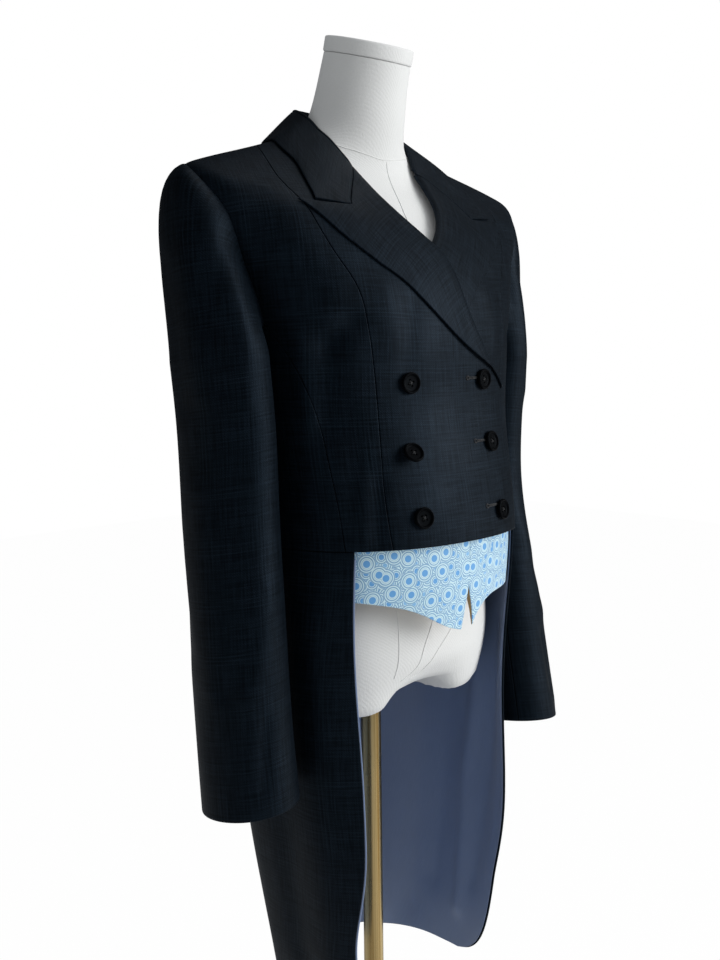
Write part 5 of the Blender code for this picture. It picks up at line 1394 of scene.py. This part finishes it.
grid = form.transpose(1, 0, 2)
faces = grid_quads(*grid.shape[:2], wrap=True)
closed_piece("dress_form_cover", grid, faces, jersey, "dress_form", smooth=80)
print("form cover:", len(faces) * 2, "triangles")
surface = BVHTree.FromPolygons(grid.reshape(-1, 3).tolist(), faces.tolist())
points, faces = joined_grids([welt(line, surface) for line in FORM_SEAMS])
closed_piece("dress_form_seams", points, faces[:, ::-1], jersey, smooth=80)

# %% Turned pieces
CAP_RADIUS, CAP_THICK, POLE_RADIUS = 0.0438, 0.0145, 0.0105
FOOT_RADIUS, FOOT_THICK, SOCKET_RADIUS, SOCKET_HEIGHT = 0.140, 0.012, 0.021, 0.030
CAP_ROUND, POLE_ROUND, FOOT_ROUND, JOINT_GAP, POLE_BELOW = 0.0022, 0.0006, 0.003, 0.0004, 0.0007


def lathe_piece(name, profile, sides, material, node, axes=np.eye(3), origin=np.zeros(3)):
    """A closed piece turned round its own axis, from a profile that starts and ends on it."""
    grid = placed(turned(profile, sides), axes, origin)
    faces = grid_quads(*grid.shape[:2], wrap=True)
    closed_piece(name, grid, faces, material, node, smooth=35)
    print(name, "has", len(faces) * 2, "triangles")


def rounded(profile, radius, count=6):
    """The profile with rounded corners: a quadratic curve between points one radius before and after each."""
    profile = np.array(profile, float)
    parts = [profile[:1]]
    t = np.linspace(0, 1, count)[:, None]
    for before, corner, after in zip(profile, profile[1:], profile[2:]):
        start, end = (corner + unit(other - corner) * min(radius, np.linalg.norm(other - corner) / 2)
                      for other in (before, after))
        parts.append((1 - t) ** 2 * start + 2 * t * (1 - t) * corner + t**2 * end)
    return np.concatenate(parts + [profile[-1:]])


print("a foot", FOOT_RADIUS * 2000, "mm across carries a pole of", POLE_RADIUS * 2000, "mm")

# %% Cap, pole and foot
front, back = (ring_point(FORM_RINGS, angle, FORM_RINGS[-1][0]) for angle in (0, 180))
backwards = unit(back - front)
cap_axes = np.array([(1, 0, 0), backwards, np.cross((1, 0, 0), backwards)])
cap_profile = rounded([(0, 0), (CAP_RADIUS, 0), (CAP_RADIUS, CAP_THICK), (0, CAP_THICK)], CAP_ROUND)
cap_place = (front + back) / 2 + cap_axes[2] * JOINT_GAP
lathe_piece("neck_cap_cover", cap_profile, 96, jersey, "neck_cap", cap_axes, cap_place)
socket_top, pole_top = FOOT_THICK + SOCKET_HEIGHT, ARCH_TOP - POLE_BELOW
pole_profile = rounded([(0, socket_top + JOINT_GAP), (POLE_RADIUS, socket_top + JOINT_GAP),
                        (POLE_RADIUS, pole_top), (0, pole_top)], POLE_ROUND)
lathe_piece("brass_pole", pole_profile, 64, brass, "pole")
foot_profile = rounded([(0, 0), (FOOT_RADIUS, 0), (FOOT_RADIUS, FOOT_THICK), (SOCKET_RADIUS, FOOT_THICK),
                        (SOCKET_RADIUS, socket_top), (0, socket_top)], FOOT_ROUND)
lathe_piece("brass_foot", foot_profile, 128, brass, "foot_plate")

# %% [markdown]
# ## Studio
# The photograph's light comes from a window on the wearer's left: the front shines softly, the near sleeve
# and tail fall into shade. A large soft light stands there, and a weak one fills the shade of a pale room.

# %% Floor
FLOOR_HALF, FLOOR_DARK, FLOOR_LIGHT, FLOOR_GRAINS, FLOOR_GLOWS = 6.0, "#F4F4F3", "#FBFBFA", 3.0, 0.985


def pale_floor():
    """Painted studio floor: matt, with faint mottles a third of a metre wide. The camera sees it lit up as
    white, and the other rays see the paint."""
    made, tree, shader = new_material("pale_studio_floor")
    place = add(tree, "ShaderNodeTexCoord")["Object"]
    mottle = add(tree, "ShaderNodeTexNoise", {"Vector": place, "Scale": FLOOR_GRAINS, "Detail": 3.0})[0]
    colour = add(tree, "ShaderNodeMix", {0: mottle, 6: linear(FLOOR_DARK), 7: linear(FLOOR_LIGHT)},
                 data_type="RGBA")[2]
    connect(tree, shader, {"Base Color": colour, "Roughness": 0.9, "Specular IOR Level": 0.1})
    glow = add(tree, "ShaderNodeEmission", {"Color": (1, 1, 1, 1), "Strength": 1.0})[0]
    seen = add(tree, "ShaderNodeLightPath")["Is Camera Ray"]
    share = add(tree, "ShaderNodeMath", (seen, FLOOR_GLOWS), operation="MULTIPLY")[0]
    mixed = add(tree, "ShaderNodeMixShader", (share, shader.outputs[0], glow))[0]
    connect(tree, tree.nodes["Material Output"], {"Surface": mixed})
    return made


floor_points = np.array([(-1, -1, 0), (1, -1, 0), (1, 1, 0), (-1, 1, 0)]) * FLOOR_HALF
floor = new_piece("studio_floor", floor_points, np.array([[0, 1, 2, 3]]), [pale_floor()])
print("a floor", 2 * FLOOR_HALF, "m wide")

# %% Lights
LIGHTS = [
    # name, place, target, size, watts
    ("window", (1.7, -2.4, 1.9), (0.0, -0.05, 1.1), 1.8, 70.0),
    ("fill", (-2.6, -1.2, 1.6), (0.0, 0.0, 1.1), 2.0, 5.0),
    ("top", (0.7, -0.5, 3.1), (0.0, 0.0, 1.0), 1.6, 9.0),
]


def look_at(place, target):
    """The turn that points an object's -Z at a target, with its Y up."""
    z = unit(np.array(place, float) - np.array(target, float))
    x = unit(np.cross((0, 0, 1), z))
    matrix = np.eye(4)
    matrix[:3, :4] = np.column_stack([x, np.cross(z, x), z, place])
    return matrix


for name, place, target, size, watts in LIGHTS:
    light = bpy.data.lights.new(name, "AREA")
    light.shape, light.size, light.energy = "SQUARE", size, watts
    made = bpy.data.objects.new(name, light)
    made.matrix_world = look_at(place, target).T.tolist()
    bpy.context.scene.collection.objects.link(made)
print(len(LIGHTS), "lights of", sum(row[-1] for row in LIGHTS), "W in all")

# %% The room
ROOM_PALE, ROOM_LIGHT, ROOM_SHINE = "#EEF1F5", 0.34, 0.05
world = bpy.data.worlds.new("pale_room")
world.use_nodes = True
bpy.context.scene.world = world
sky = world.node_tree
seen = add(sky, "ShaderNodeBackground", {"Color": (1, 1, 1, 1), "Strength": 1.0})[0]
light = add(sky, "ShaderNodeBackground", {"Color": linear(ROOM_PALE), "Strength": ROOM_LIGHT})[0]
shine = add(sky, "ShaderNodeBackground", {"Color": linear(ROOM_PALE), "Strength": ROOM_SHINE})[0]
ray = add(sky, "ShaderNodeLightPath")
lit = add(sky, "ShaderNodeMixShader", (ray["Is Glossy Ray"], light, shine))[0]
room = add(sky, "ShaderNodeMixShader", (ray["Is Camera Ray"], lit, seen))[0]
connect(sky, sky.nodes["World Output"], {"Surface": room})
bpy.context.scene.view_settings.view_transform = "Standard"
print(world.name, "gives", ROOM_LIGHT, "of light and", ROOM_SHINE, "of shine")

# %% [markdown]
# ## Camera
# The camera stands in front of the wearer's right, 1.1 m from the pole's axis and 1.23 m up, and looks down
# 7 degrees. These numbers were fitted to the outline of the object in the photograph.

# %% Camera
CAMERA_ROUND, CAMERA_AWAY, CAMERA_HIGH = math.radians(43.05), 1.0934, 1.2262
CAMERA_DOWN, CAMERA_PAN, CAMERA_ROLL = math.radians(6.99), math.radians(-0.44), math.radians(-0.73)
FOCAL_PIXELS, IMAGE_HIGH = 1074.8, 960
heading = CAMERA_ROUND + CAMERA_PAN
ahead = np.array([math.sin(heading) * math.cos(CAMERA_DOWN), math.cos(heading) * math.cos(CAMERA_DOWN),
                  -math.sin(CAMERA_DOWN)])
level_right = np.array([math.cos(heading), -math.sin(heading), 0.0])
level_up = np.cross(level_right, ahead)
right = math.cos(CAMERA_ROLL) * level_right + math.sin(CAMERA_ROLL) * level_up
camera_up = -math.sin(CAMERA_ROLL) * level_right + math.cos(CAMERA_ROLL) * level_up
eye_place = (-CAMERA_AWAY * math.sin(CAMERA_ROUND), -CAMERA_AWAY * math.cos(CAMERA_ROUND), CAMERA_HIGH)
camera = bpy.data.cameras.new("camera")
camera.sensor_width = 36.0
camera.lens = FOCAL_PIXELS / IMAGE_HIGH * camera.sensor_width
camera.clip_start = 0.05
camera_object = bpy.data.objects.new("camera", camera)
matrix = np.eye(4)
matrix[:3, :4] = np.column_stack([right, camera_up, -ahead, eye_place])
camera_object.matrix_world = matrix.T.tolist()
bpy.context.scene.collection.objects.link(camera_object)
bpy.context.scene.camera = camera_object
print("focal length", round(camera.lens, 2), "mm")

# %% Sizes, and the end
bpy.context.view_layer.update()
triangles = sum(len(face.vertices) - 2 for piece in made_pieces.values() for face in piece.data.polygons)
print(triangles, "triangles in all")
